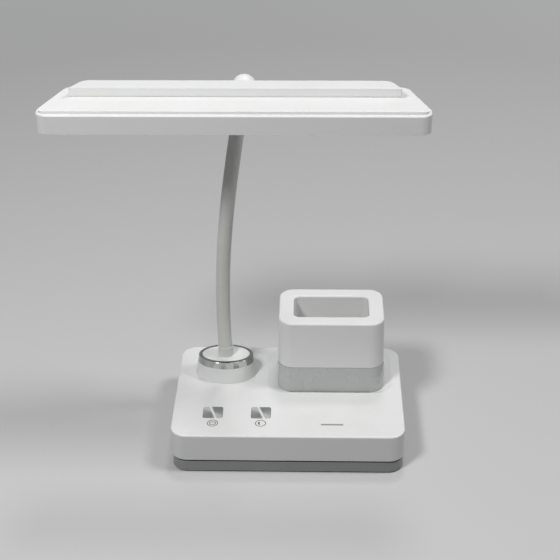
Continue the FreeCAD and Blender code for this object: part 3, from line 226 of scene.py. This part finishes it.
def effect_crevice():
    """Painted shade where surfaces meet or nearly meet: darker where ambient occlusion finds nearby
    surfaces, in patches.
    """
    tree, source, sink = new_effect("crevice_painted_shade", [("Reach", "Float", 0.003)], [("Mask", "Float")])
    near = put(tree, "ShaderNodeAmbientOcclusion", samples=8)
    feed(tree, near.inputs["Distance"], source["Reach"])
    closed = ramp(tree, near.outputs["AO"], 0.62, 0.18)
    patchy = ramp(tree, speckle(tree, own_place(tree), 240.0, 3.0, 0.6), 0.3, 0.65, 0.7, 1.0)
    feed(tree, sink["Mask"], sum_of(tree, "MULTIPLY", closed, patchy))
    return tree


def effect_drawn_metal():
    """Rolled or plated metal: fine lines one way, dull patches, tiny pits."""
    tree, source, sink = new_effect(
        "drawn_metal",
        [("Tone", "Color", (0.6, 0.6, 0.6, 1)), ("Shade", "Color", (0.45, 0.45, 0.45, 1)),
         ("Gloss", "Float", 0.3), ("Lines", "Vector", (40.0, 900.0, 900.0))],
        [("Colour", "Color"), ("Roughness", "Float"), ("Height", "Float")])
    place = own_place(tree)
    lines = speckle(tree, stretched(tree, place, source["Lines"]), 1.0, 4.0, 0.6)
    patches = speckle(tree, place, 120.0, 4.0, 0.6)
    share = sum_of(tree, "MULTIPLY_ADD", lines, 0.5, ramp(tree, patches, 0.4, 0.7, 0.0, 0.4))
    feed(tree, sink["Colour"], tint(tree, share, source["Tone"], source["Shade"]))
    dull = ramp(tree, patches, 0.4, 0.72, 0.0, 0.16)
    rough = sum_of(tree, "MULTIPLY_ADD", lines, 0.08, sum_of(tree, "ADD", source["Gloss"], dull))
    feed(tree, sink["Roughness"], rough)
    feed(tree, sink["Height"], lines)
    return tree


# Angles and widths of the highlight fans and streak painted on the spun faces.
PAINTED_FAN_ANGLE = math.radians(126.0)
PAINTED_STREAK_ANGLE = math.radians(109.0)
PAINTED_STREAK_CORE = 0.5 * MM
PAINTED_STREAK_EDGE = 1.6 * MM
RINGS_PER_METRE = 5200.0


def effect_turned_face():
    """Face spun on a lathe: fine rings round a centre, with soft fans and one straight bright streak
    painted in as highlights.
    """
    tree, source, sink = new_effect(
        "turned_face_painted_highlight",
        [("Centre", "Vector", (0.0, 0.0, 0.0)), ("Bright", "Color", (0.9, 0.9, 0.9, 1)),
         ("Tone", "Color", (0.4, 0.4, 0.4, 1)), ("Gloss", "Float", 0.3)],
        [("Colour", "Color"), ("Roughness", "Float"), ("Height", "Float")])
    spoke = put(tree, "ShaderNodeVectorMath", operation="SUBTRACT")
    feed(tree, spoke.inputs[0], own_place(tree))
    feed(tree, spoke.inputs[1], source["Centre"])
    part = put(tree, "ShaderNodeSeparateXYZ")
    feed(tree, part.inputs[0], spoke.outputs[0])
    east, north = part.outputs["X"], part.outputs["Y"]
    square = sum_of(tree, "MULTIPLY_ADD", east, east, sum_of(tree, "MULTIPLY", north, north))
    radius = sum_of(tree, "SQRT", square)
    rings = put(tree, "ShaderNodeTexNoise", noise_dimensions="1D")
    feed(tree, rings.inputs["W"], sum_of(tree, "MULTIPLY", radius, RINGS_PER_METRE))
    rings.inputs["Scale"].default_value = 1.0
    rings.inputs["Detail"].default_value = 3.0
    angle = sum_of(tree, "ARCTAN2", north, east)
    # Painted highlight: two soft fans of light across the face.
    painted_fan_wave = sum_of(tree, "COSINE", sum_of(tree, "MULTIPLY_ADD", angle, 2.0, -2 * PAINTED_FAN_ANGLE))
    painted_fan = ramp(tree, painted_fan_wave, 0.20, 1.0, 0.0, 0.46)
    # Painted highlight: one straight bright streak through the centre.
    beside = sum_of(tree, "MULTIPLY_ADD", east, math.sin(PAINTED_STREAK_ANGLE),
                    sum_of(tree, "MULTIPLY", north, -math.cos(PAINTED_STREAK_ANGLE)))
    painted_streak = ramp(tree, sum_of(tree, "ABSOLUTE", beside), PAINTED_STREAK_CORE, PAINTED_STREAK_EDGE, 0.95, 0.0)
    # Painted highlight: a fainter second pair of fans.
    painted_side_wave = sum_of(tree, "COSINE", sum_of(tree, "MULTIPLY_ADD", angle, 2.0, 0.5))
    side = ramp(tree, painted_side_wave, 0.2, 1.0, 0.0, 0.12)
    light = sum_of(tree, "ADD", sum_of(tree, "MAXIMUM", painted_fan, painted_streak), side)
    grooved_painted_light = sum_of(tree, "MULTIPLY", light, ramp(tree, rings.outputs["Fac"], 0.3, 0.7, 0.78, 1.1))
    feed(tree, sink["Colour"], tint(tree, grooved_painted_light, source["Tone"], source["Bright"]))
    feed(tree, sink["Roughness"],
         sum_of(tree, "MULTIPLY_ADD", rings.outputs["Fac"], 0.12, source["Gloss"]))
    feed(tree, sink["Height"], rings.outputs["Fac"])
    return tree


MOULDING = effect_moulding()
EDGE_RUB_AND_HIGHLIGHT = effect_edge_rub()
SETTLED_DUST = effect_settled_dust()
CREVICE_PAINTED_SHADE = effect_crevice()
DRAWN_METAL = effect_drawn_metal()
TURNED_FACE_PAINTED_HIGHLIGHT = effect_turned_face()


# ---------------------------------------------------------------- finishes
DUST_TONE = (0.60, 0.59, 0.56, 1)
PLASTIC_EDGE = 0.5 * MM
METAL_EDGE = 0.3 * MM
RUBBER_EDGE = 0.7 * MM
CHIP_EDGE = 0.4 * MM
# Reach and strength of the painted shade in gaps and crevices.
PAINTED_SHADE_REACH = 4.0 * MM
PAINTED_SHADE_SHARE = 0.22


def new_finish(name, **constants):
    """A material with its shader's uniform values set on the shader itself."""
    finish = bpy.data.materials.new(name)
    finish.use_nodes = True
    tree = finish.node_tree
    shader = tree.nodes["Principled BSDF"]
    for socket, value in constants.items():
        shader.inputs[socket.replace("_", " ")].default_value = value
    return finish, tree, shader


def use(tree, effect, **values):
    """Places an effect in a material with its own values."""
    made = put(tree, "ShaderNodeGroup", node_tree=effect)
    for name, value in values.items():
        feed(tree, made.inputs[name], value)
    return made.outputs


def raise_surface(tree, shader, height, depth, strength=1.0):
    """Bump from a height, with the depth of its relief in metres."""
    bump = put(tree, "ShaderNodeBump")
    bump.inputs["Strength"].default_value = strength
    bump.inputs["Distance"].default_value = depth
    feed(tree, bump.inputs["Height"], height)
    feed(tree, shader.inputs["Normal"], bump.outputs["Normal"])


def plastic_finish(name, tone, shade, gloss, grain=0.5, dust=0.16, grime_and_painted_shade=0.55, **constants):
    """Moulded plastic with rubbed edges and a painted edge highlight, a little dust, and painted shade in
    its gaps.
    """
    finish, tree, shader = new_finish(name, **constants)
    body = use(tree, MOULDING, Tone=(*tone, 1), Shade=(*shade, 1), Gloss=gloss, Grain=grain)
    edge = use(tree, EDGE_RUB_AND_HIGHLIGHT, Reach=PLASTIC_EDGE)["Mask"]
    film = use(tree, SETTLED_DUST, Amount=dust)["Mask"]
    # Painted edge highlight: edges are lightened towards a paler copy of the tone; the lower roughness on
    # them is real wear.
    painted_edge_highlight_tone = tuple(min(0.86, c * 1.10 + 0.01) for c in tone)
    rubbed = tint(tree, sum_of(tree, "MULTIPLY", edge, 0.35), body["Colour"], (*painted_edge_highlight_tone, 1))
    dusty = tint(tree, film, rubbed, DUST_TONE)
    # Painted shade: where ambient occlusion finds nearby surfaces, the colour is darkened towards a dark
    # copy of the tone.
    painted_gap_shade = use(tree, CREVICE_PAINTED_SHADE, Reach=PAINTED_SHADE_REACH)["Mask"]
    painted_shade_tone = tuple(PAINTED_SHADE_SHARE * c for c in tone)
    feed(tree, shader.inputs["Base Color"],
         tint(tree, sum_of(tree, "MULTIPLY", painted_gap_shade, grime_and_painted_shade), dusty, (*painted_shade_tone, 1)))
    smooth = sum_of(tree, "MULTIPLY_ADD", edge, -0.06, body["Roughness"])
    feed(tree, shader.inputs["Roughness"], sum_of(tree, "MULTIPLY_ADD", film, 0.5, smooth, clamp=True))
    raise_surface(tree, shader, body["Height"], 0.02 * MM)
    return finish


def metal_finish(name, tone, shade, gloss):
    """Plated or rolled metal with brighter edges."""
    finish, tree, shader = new_finish(name, Metallic=1.0)
    body = use(tree, DRAWN_METAL, Tone=(*tone, 1), Shade=(*shade, 1), Gloss=gloss)
    edge = use(tree, EDGE_RUB_AND_HIGHLIGHT, Reach=METAL_EDGE)["Mask"]
    bright = tuple(min(0.95, c * 1.25) for c in tone)
    feed(tree, shader.inputs["Base Color"],
         tint(tree, sum_of(tree, "MULTIPLY", edge, 0.6), body["Colour"], (*bright, 1)))
    feed(tree, shader.inputs["Roughness"],
         sum_of(tree, "MULTIPLY_ADD", edge, -0.08, body["Roughness"], clamp=True))
    raise_surface(tree, shader, body["Height"], 0.008 * MM)
    return finish


def spun_finish(name, plate):
    """Spun face of a button plate, turned round the plate's own middle, with painted highlights in its
    colour.
    """
    low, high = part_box(plate)
    middle = (low + high) / 2
    finish, tree, shader = new_finish(name, Metallic=0.85, Anisotropic=0.45)
    face = use(tree, TURNED_FACE_PAINTED_HIGHLIGHT, Centre=middle, Gloss=0.30,
               Tone=(0.25, 0.255, 0.245, 1), Bright=(0.95, 0.95, 0.94, 1))
    edge = use(tree, EDGE_RUB_AND_HIGHLIGHT, Reach=METAL_EDGE)["Mask"]
    feed(tree, shader.inputs["Base Color"],
         tint(tree, sum_of(tree, "MULTIPLY", edge, 0.5), face["Colour"], (0.8, 0.8, 0.8, 1)))
    feed(tree, shader.inputs["Roughness"], face["Roughness"])
    raise_surface(tree, shader, face["Height"], 0.01 * MM, 0.6)
    return finish


def chrome_finish():
    """Polished ring whose top is painted darker than its sides as a painted reflection, with a few finger
    smudges and hair scratches.
    """
    finish, tree, shader = new_finish("polished_ring", Metallic=1.0)
    place = own_place(tree)
    smudge = ramp(tree, speckle(tree, place, 95.0, 4.0, 0.6), 0.46, 0.7)
    hair = ramp(tree, speckle(tree, stretched(tree, place, (70.0, 70.0, 2600.0)), 1.0, 3.0), 0.6, 0.72)
    # Painted reflection: faces that look up are darkened, the sides kept brighter.
    painted_dark_top = ramp(tree, upward(tree), 0.45, 0.85)
    tone = tint(tree, painted_dark_top, (0.52, 0.53, 0.52, 1), (0.17, 0.175, 0.17, 1))
    feed(tree, shader.inputs["Base Color"],
         tint(tree, sum_of(tree, "MULTIPLY", smudge, 0.3), tone, (0.27, 0.27, 0.26, 1)))
    rough = ramp(tree, smudge, 0.0, 1.0, 0.05, 0.14)
    feed(tree, shader.inputs["Roughness"], sum_of(tree, "MULTIPLY_ADD", hair, 0.08, rough))
    raise_surface(tree, shader, hair, 0.002 * MM)
    return finish


def skin_finish():
    """Soft matt sleeve of the neck: pale, slightly cloudy, with a fine tacky grain."""
    finish, tree, shader = new_finish("soft_sleeve", Sheen_Weight=0.06, Sheen_Roughness=0.5, IOR=1.42)
    body = use(tree, MOULDING, Gloss=0.46, Grain=1.0,
               Tone=(0.72, 0.73, 0.705, 1), Shade=(0.66, 0.665, 0.64, 1))
    fingered = ramp(tree, speckle(tree, own_place(tree), 60.0, 4.0, 0.65), 0.5, 0.75, 0.0, 0.35)
    feed(tree, shader.inputs["Base Color"], tint(tree, fingered, body["Colour"], (0.57, 0.575, 0.55, 1)))
    feed(tree, shader.inputs["Roughness"], body["Roughness"])
    raise_surface(tree, shader, body["Height"], 0.03 * MM)
    return finish


def opal_finish():
    """Milky diffuser sheet with a fine stippled underside."""
    finish, tree, shader = new_finish("opal_sheet", Subsurface_Weight=0.15,
                                      Subsurface_Scale=3.0 * MM, IOR=1.49)
    shader.inputs["Subsurface Radius"].default_value = (1.0, 1.0, 1.0)
    cells = put(tree, "ShaderNodeTexVoronoi", feature="SMOOTH_F1")
    feed(tree, cells.inputs["Vector"], own_place(tree))
    cells.inputs["Scale"].default_value = 1400.0
    haze = speckle(tree, own_place(tree), 22.0, 3.0)
    feed(tree, shader.inputs["Base Color"],
         tint(tree, ramp(tree, haze, 0.35, 0.7), (0.84, 0.84, 0.81, 1), (0.79, 0.79, 0.76, 1)))
    feed(tree, shader.inputs["Roughness"], ramp(tree, haze, 0.3, 0.7, 0.42, 0.52))
    raise_surface(tree, shader, cells.outputs["Distance"], 0.05 * MM)
    return finish


def lens_finish():
    """Smoky light pipe that shows as a grey line."""
    finish, tree, shader = new_finish("smoky_lens", IOR=1.49, Coat_Weight=0.3)
    haze = speckle(tree, own_place(tree), 320.0, 3.0)
    feed(tree, shader.inputs["Base Color"],
         tint(tree, ramp(tree, haze, 0.3, 0.7), (0.33, 0.34, 0.33, 1), (0.27, 0.28, 0.27, 1)))
    feed(tree, shader.inputs["Roughness"], ramp(tree, haze, 0.3, 0.7, 0.18, 0.3))
    raise_surface(tree, shader, speckle(tree, own_place(tree), 700.0), 0.01 * MM)
    return finish


def rubber_finish():
    """Dull feet with dust rubbed into their edges."""
    finish, tree, shader = new_finish("foot_rubber", Specular_IOR_Level=0.3)
    place = own_place(tree)
    fine = speckle(tree, place, 1100.0, 3.0, 0.7)
    grime_and_painted_shade = ramp(tree, speckle(tree, place, 160.0, 4.0, 0.7), 0.42, 0.72)
    edge = use(tree, EDGE_RUB_AND_HIGHLIGHT, Reach=RUBBER_EDGE)["Mask"]
    grey = sum_of(tree, "MULTIPLY_ADD", edge, 0.5, sum_of(tree, "MULTIPLY", grime_and_painted_shade, 0.4), clamp=True)
    feed(tree, shader.inputs["Base Color"],
         tint(tree, grey, (0.030, 0.030, 0.031, 1), (0.14, 0.135, 0.13, 1)))
    feed(tree, shader.inputs["Roughness"], ramp(tree, fine, 0.2, 0.8, 0.62, 0.86))
    raise_surface(tree, shader, fine, 0.04 * MM)
    return finish


def board_finish(name, mask_tone, trace_tone, width):
    """Circuit board: solder mask over rows of tracks, with bare pads here and there."""
    finish, tree, shader = new_finish(name, Coat_Weight=0.25, Coat_Roughness=0.3)
    place = own_place(tree)
    rows = put(tree, "ShaderNodeTexBrick", offset=0.37, squash=1.0)
    feed(tree, rows.inputs["Vector"], place)
    for socket, value in (("Scale", 1.0), ("Mortar Size", width * 0.16), ("Brick Width", width * 9),
                          ("Row Height", width), ("Mortar Smooth", 0.1)):
        rows.inputs[socket].default_value = value
    weave = speckle(tree, stretched(tree, place, (900.0, 1500.0, 900.0)), 1.0)
    base = tint(tree, rows.outputs["Fac"], (*mask_tone, 1), (*trace_tone, 1))
    darker = tuple(c * 0.82 for c in mask_tone)
    feed(tree, shader.inputs["Base Color"],
         tint(tree, sum_of(tree, "MULTIPLY", weave, 0.4), base, (*darker, 1)))
    feed(tree, shader.inputs["Roughness"], ramp(tree, weave, 0.3, 0.7, 0.38, 0.55))
    raise_surface(tree, shader, rows.outputs["Fac"], 0.03 * MM)
    return finish


def cell_finish():
    """Shrink sleeve of the battery cells, wrinkled towards the ends."""
    finish, tree, shader = new_finish("shrink_sleeve", Coat_Weight=0.5, Coat_Roughness=0.12)
    place = own_place(tree)
    wrinkle = speckle(tree, stretched(tree, place, (60.0, 420.0, 420.0)), 1.0, 3.0, 0.6)
    feed(tree, shader.inputs["Base Color"],
         tint(tree, wrinkle, (0.05, 0.19, 0.43, 1), (0.03, 0.12, 0.30, 1)))
    feed(tree, shader.inputs["Roughness"], ramp(tree, wrinkle, 0.3, 0.7, 0.25, 0.4))
    raise_surface(tree, shader, wrinkle, 0.06 * MM)
    return finish


def phosphor_finish():
    """Small lights: yellow phosphor, grainy, paler towards the edges."""
    finish, tree, shader = new_finish("phosphor")
    grain = speckle(tree, own_place(tree), 2400.0, 3.0, 0.7)
    edge = use(tree, EDGE_RUB_AND_HIGHLIGHT, Reach=CHIP_EDGE)["Mask"]
    gold = tint(tree, grain, (0.86, 0.66, 0.16, 1), (0.72, 0.50, 0.09, 1))
    feed(tree, shader.inputs["Base Color"], tint(tree, edge, gold, (0.80, 0.79, 0.74, 1)))
    feed(tree, shader.inputs["Roughness"], ramp(tree, grain, 0.3, 0.7, 0.35, 0.6))
    raise_surface(tree, shader, grain, 0.03 * MM)
    return finish


def ink_finish():
    """Grey pad-printed ink, thin in places."""
    finish, tree, shader = new_finish("printed_ink", Specular_IOR_Level=0.4)
    thin = speckle(tree, own_place(tree), 1300.0, 4.0, 0.7)
    feed(tree, shader.inputs["Base Color"],
         tint(tree, ramp(tree, thin, 0.42, 0.72), (0.07, 0.07, 0.069, 1), (0.17, 0.174, 0.17, 1)))
    feed(tree, shader.inputs["Roughness"], ramp(tree, thin, 0.3, 0.7, 0.4, 0.6))
    raise_surface(tree, shader, thin, 0.01 * MM)
    return finish


# On the plastics, the darkening in gaps and crevices is painted shade.
FINISHES = {
    "white_plastic": plastic_finish("white_shell", (0.80, 0.805, 0.795), (0.765, 0.77, 0.76), 0.33,
                                    grime_and_painted_shade=0.9, Coat_Weight=0.12, Coat_Roughness=0.18),
    "tier_plastic": plastic_finish("mid_grey_shell", (0.33, 0.34, 0.335), (0.30, 0.31, 0.305), 0.30,
                                   grain=0.4, dust=0.10, grime_and_painted_shade=0.95),
    "grey_plastic": plastic_finish("cool_grey_shell", (0.53, 0.545, 0.535), (0.49, 0.505, 0.495), 0.24,
                                   grain=0.3, dust=0.12, grime_and_painted_shade=0.9, Coat_Weight=0.2, Coat_Roughness=0.12),
    "dark_grey_plastic": plastic_finish("dark_nylon", (0.13, 0.132, 0.135), (0.10, 0.102, 0.105), 0.45,
                                        dust=0.08),
    "inner_plastic": plastic_finish("inner_moulding", (0.70, 0.70, 0.69), (0.64, 0.64, 0.63), 0.5,
                                    grain=1.0),
    "chrome": chrome_finish(),
    "lens": lens_finish(),
    "opal": opal_finish(),
    "rubber": rubber_finish(),
    "neck_skin": skin_finish(),
    "steel": metal_finish("zinc_plated_steel", (0.55, 0.555, 0.57), (0.42, 0.42, 0.43), 0.28),
    "aluminium": metal_finish("rolled_aluminium", (0.76, 0.76, 0.77), (0.66, 0.66, 0.67), 0.33),
    "board": board_finish("green_board", (0.02, 0.13, 0.05), (0.05, 0.24, 0.10), 1.1 * MM),
    "white_board": board_finish("white_board", (0.76, 0.76, 0.73), (0.70, 0.69, 0.64), 2.0 * MM),
    "cell_wrap": cell_finish(),
    "chip": phosphor_finish(),
}
SPUN = {"power_button_plate": "spun_plate_left", "dimmer_button_plate": "spun_plate_right"}
INK = ink_finish()


def dress_nodes():
    """Gives every CAD node the finish of its material slot."""
    slot_of = {part["node"]: part["material_slot"] for part in frame["record"]["subparts"]}
    for name, node in frame["nodes"].items():
        finish = spun_finish(SPUN[name], name) if name in SPUN else FINISHES[slot_of[name]]
        if not node.material_slots:
            node.data.materials.append(finish)
        for place in node.material_slots:
            place.material = finish


dress_nodes()


# ---------------------------------------------------------------- modelling helpers
SMOOTH_ANGLE = math.radians(35)
WELD = 0.001 * MM


def deselect():
    """Leaves edit mode with nothing selected."""
    if bpy.context.mode != "OBJECT":
        bpy.ops.object.mode_set(mode="OBJECT")
    bpy.ops.object.select_all(action="DESELECT")


def edit(piece, kind):
    """Opens a piece for modelling with nothing selected."""
    deselect()
    piece.select_set(True)
    bpy.context.view_layer.objects.active = piece
    bpy.ops.object.mode_set(mode="EDIT")
    bpy.ops.mesh.select_mode(type=kind)
    bpy.ops.mesh.select_all(action="DESELECT")


def select_where(piece, kind, test):
    """Selects what passes a test on its place or normal."""
    bpy.ops.mesh.select_mode(type=kind)
    bpy.ops.mesh.select_all(action="DESELECT")
    shape = bmesh.from_edit_mesh(piece.data)
    for item in {"VERT": shape.verts, "EDGE": shape.edges, "FACE": shape.faces}[kind]:
        if test(item):
            item.select_set(True)
    shape.select_flush_mode()
    bmesh.update_edit_mesh(piece.data)


def close_piece(piece, finish, body=None):
    """Turns the faces outwards, sets the finish and puts the place into the mesh."""
    bpy.ops.mesh.select_all(action="SELECT")
    bpy.ops.mesh.remove_doubles(threshold=WELD)
    bpy.ops.mesh.normals_make_consistent(inside=False)
    if bmesh.from_edit_mesh(piece.data).calc_volume(signed=True) < 0:
        bpy.ops.mesh.flip_normals()
    bpy.ops.object.mode_set(mode="OBJECT")
    bpy.ops.object.transform_apply(location=True, rotation=True, scale=True)
    bpy.ops.object.shade_smooth_by_angle(angle=SMOOTH_ANGLE)
    piece.data.materials.clear()
    piece.data.materials.append(finish)
    if body:
        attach(piece, body)
    deselect()


# ---------------------------------------------------------------- neck
NECK_RADIUS = 6.1 * MM
NECK_LINKS = 7
NECK_FOOT = Vector((-56.8, 27.5, 58.0)) * MM
FOOT_HANDLE = NECK_FOOT + Vector((-4.5, 0.5, 95.0)) * MM
NECK_TOP = Vector((-34.7, 15.5, 318.4)) * MM
TOP_LEAN = math.radians(9.8)
TOP_HANDLE = NECK_TOP - Vector((math.sin(TOP_LEAN), 0, math.cos(TOP_LEAN))) * 95.0 * MM
FERRULE_LENGTH = 22.0 * MM
FERRULE_LAP = 0.2 * MM
COLLAR_SINK = 0.6 * MM
SLEEVE_SIDES = 64
SLEEVE_CUTS = 23
SLEEVE_RIM = 1.4 * MM


def neck_place(t):
    """Point of the neck's middle line, from the foot at 0 to the top at 1."""
    s = 1 - t
    return NECK_FOOT * s ** 3 + FOOT_HANDLE * 3 * s * s * t + TOP_HANDLE * 3 * s * t * t + NECK_TOP * t ** 3


def neck_reach(t, steps=400):
    """Length of the middle line up to t."""
    places = [neck_place(t * i / steps) for i in range(steps + 1)]
    return sum((b - a).length for a, b in zip(places, places[1:]))


def draw_neck_line():
    """The curve that the straight sleeves are bent along."""
    deselect()
    bpy.ops.curve.primitive_bezier_curve_add(location=(0, 0, 0))
    line = bpy.context.object
    line.name = "neck_line"
    line.data.resolution_u = 64
    foot, top = line.data.splines[0].bezier_points
    for point in (foot, top):
        point.handle_left_type = point.handle_right_type = "FREE"
    foot.co, foot.handle_right, foot.handle_left = NECK_FOOT, FOOT_HANDLE, 2 * NECK_FOOT - FOOT_HANDLE
    top.co, top.handle_left, top.handle_right = NECK_TOP, TOP_HANDLE, 2 * NECK_TOP - TOP_HANDLE
    return line


def neck_sleeve(number, low, high, line):
    """Length of smooth sleeve from low to high along the neck, bent to its curve."""
    deselect()
    bpy.ops.mesh.primitive_cylinder_add(vertices=SLEEVE_SIDES, radius=NECK_RADIUS, depth=high - low,
                                        location=(0, 0, (low + high) / 2), end_fill_type="NGON")
    sleeve = bpy.context.object
    sleeve.name = "neck_skin_%d" % number
    edit(sleeve, "EDGE")
    select_where(sleeve, "EDGE", lambda e: abs(e.verts[0].co.z - e.verts[1].co.z) > 1 * MM)
    bpy.ops.mesh.subdivide(number_cuts=SLEEVE_CUTS)
    select_where(sleeve, "FACE", lambda f: abs(f.normal.z) > 0.9)
    bpy.ops.mesh.inset(thickness=SLEEVE_RIM, depth=0)
    bpy.ops.object.mode_set(mode="OBJECT")
    bpy.ops.object.transform_apply(location=True, rotation=True, scale=True)
    bend = sleeve.modifiers.new("along_the_neck", "CURVE")
    bend.object, bend.deform_axis = line, "POS_Z"
    bpy.ops.object.modifier_apply(modifier=bend.name)
    edit(sleeve, "FACE")
    close_piece(sleeve, FINISHES["neck_skin"])
    return sleeve


def build_neck():
    """Six sleeves along the curve of the neck, each round one joint, that meet half way between joints."""
    line = draw_neck_line()
    whole = neck_reach(1.0)
    joints = [neck_reach(k / NECK_LINKS) for k in range(NECK_LINKS)] + [whole - FERRULE_LENGTH]
    halves = [(a + b) / 2 for a, b in zip(joints, joints[1:])]
    for k in range(1, NECK_LINKS):
        low = COLLAR_SINK if k == 1 else halves[k - 1]
        high = whole - FERRULE_LENGTH + FERRULE_LAP if k == NECK_LINKS - 1 else halves[k]
        sleeve = neck_sleeve(k, low, high, line)
        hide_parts(*(["neck_sleeve_0"] if k == 1 else []), "neck_sleeve_%d" % k)
        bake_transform(sleeve)
    bpy.data.objects.remove(line)


build_neck()


# ---------------------------------------------------------------- printed marks
BASE_TOP = 38.1 * MM
INK_LIFT = 0.06 * MM
MARK_RADIUS = 4.7 * MM
MARK_LINE = 0.65 * MM
SQUARE_SIDE = 5.4 * MM
SQUARE_SHARE = 0.80
SQUARE_CORNER = 1.0 * MM
MOON_RADIUS = 2.3 * MM
MOON_HOLLOW = 0.30
LEFT_MARK = (-64.4 * MM, -51.3 * MM)
RIGHT_MARK = (-23.3 * MM, -51.0 * MM)


def printed_ring(name, x, y):
    """Thin ring of ink on the top of the base."""
    deselect()
    bpy.ops.mesh.primitive_circle_add(vertices=72, radius=MARK_RADIUS, location=(x, y, BASE_TOP),
                                      fill_type="NGON")
    ring = bpy.context.object
    ring.name = name
    edit(ring, "FACE")
    bpy.ops.mesh.select_all(action="SELECT")
    bpy.ops.mesh.inset(thickness=MARK_LINE, depth=0)
    bpy.ops.mesh.delete(type="FACE")
    return ring


def thicken_ink(ring):
    """Gives the flat print its film thickness."""
    bpy.ops.mesh.select_all(action="SELECT")
    bpy.ops.mesh.extrude_region_move(TRANSFORM_OT_translate={"value": (0, 0, INK_LIFT)})
    close_piece(ring, INK, "base")


def mark_with_square():
    """Ring round a small rounded square."""
    x, y = LEFT_MARK
    ring = printed_ring("mark_square", x, y)
    bpy.ops.mesh.select_all(action="DESELECT")
    bpy.ops.mesh.primitive_plane_add(size=SQUARE_SIDE, location=(x, y, BASE_TOP))
    bpy.ops.transform.resize(value=(1.0, SQUARE_SHARE, 1.0), center_override=(x, y, BASE_TOP))
    bpy.ops.mesh.bevel(offset=SQUARE_CORNER, segments=5, affect="VERTICES")
    select_where(ring, "FACE", lambda f: f.calc_center_median().length < 0.8 * MM)
    bpy.ops.mesh.inset(thickness=MARK_LINE, depth=0)
    bpy.ops.mesh.delete(type="FACE")
    thicken_ink(ring)


def mark_with_moon():
    """Ring round a waning moon."""
    x, y = RIGHT_MARK
    ring = printed_ring("mark_moon", x, y)
    bpy.ops.mesh.select_all(action="DESELECT")
    bpy.ops.mesh.primitive_circle_add(vertices=48, radius=MOON_RADIUS, location=(x, y, BASE_TOP),
                                      fill_type="NGON")
    select_where(ring, "VERT", lambda v: v.co.length < 3 * MM and v.co.x > 0.01 * MM)
    bpy.ops.transform.resize(value=(-MOON_HOLLOW, 1.0, 1.0), center_override=(x, y, BASE_TOP))
    thicken_ink(ring)


mark_with_square()
mark_with_moon()


# ---------------------------------------------------------------- stage and light
FLOOR_SIZE = 16.0
FLOOR_DROP = 0.1 * MM
FAR_FROM, FAR_TO = 1.0, 4.5
FAR_GLOW = 0.62
PALE_AIR = (0.96, 0.98, 1.0, 1)
SKY_ON_OBJECT, SKY_SEEN = 0.15, 0.80
LAMP_AIM = Vector((0.0, 0.0, 0.1))
# Each lamp's name, place and size in metres, and power in watts.
STUDIO_LAMPS = (
    ("front_left", (-0.52, -0.74, 1.22), 0.25, 10.2),
    ("right", (1.35, -0.2, 2.4), 0.6, 25.0),
    ("rear", (0.2, 0.95, 2.9), 0.45, 12.6),
)


def seen_share(tree, path):
    """1 for what the camera sees, straight or through shine and glass, and 0 for stray light."""
    seen = sum_of(tree, "MAXIMUM", path.outputs["Is Camera Ray"], path.outputs["Is Glossy Ray"])
    return sum_of(tree, "MAXIMUM", seen, path.outputs["Is Transmission Ray"])


def build_floor():
    """Plain pale floor that stays pale into the distance, where the lamps don't reach."""
    deselect()
    bpy.ops.mesh.primitive_plane_add(size=FLOOR_SIZE, location=(0, 0, -FLOOR_DROP))
    floor = bpy.context.object
    floor.name = "studio_floor"
    finish, tree, shader = new_finish("pale_floor", Roughness=0.9, Specular_IOR_Level=0.1)
    path = put(tree, "ShaderNodeLightPath")
    seen = seen_share(tree, path)
    feed(tree, shader.inputs["Base Color"],
         tint(tree, seen, (0.22, 0.22, 0.22, 1), (0.60, 0.60, 0.595, 1)))
    away = put(tree, "ShaderNodeVectorMath", operation="LENGTH")
    feed(tree, away.inputs[0], own_place(tree))
    far = ramp(tree, away.outputs["Value"], FAR_FROM, FAR_TO, 0.0, FAR_GLOW)
    shader.inputs["Emission Color"].default_value = PALE_AIR
    feed(tree, shader.inputs["Emission Strength"], sum_of(tree, "MULTIPLY", far, seen))
    floor.data.materials.append(finish)


def build_lamp(name, place, size, power):
    """One soft square light, turned to the object."""
    data = bpy.data.lights.new(name, "AREA")
    data.shape, data.size, data.energy = "SQUARE", size, power
    lamp = bpy.data.objects.new(name, data)
    way = LAMP_AIM - Vector(place)
    lamp.matrix_world = Matrix.Translation(place) @ way.to_track_quat("-Z", "Y").to_matrix().to_4x4()
    bpy.context.scene.collection.objects.link(lamp)


def build_world():
    """Dim surroundings for the light, pale ones for what is seen."""
    world = bpy.data.worlds.new("studio")
    bpy.context.scene.world = world
    world.use_nodes = True
    tree = world.node_tree
    seen = seen_share(tree, put(tree, "ShaderNodeLightPath"))
    sky = tree.nodes["Background"]
    sky.inputs["Color"].default_value = PALE_AIR
    feed(tree, sky.inputs["Strength"], ramp(tree, seen, 0.0, 1.0, SKY_ON_OBJECT, SKY_SEEN))


build_floor()
build_world()
for lamp_values in STUDIO_LAMPS:
    build_lamp(*lamp_values)

bpy.context.scene.view_settings.view_transform = "Standard"
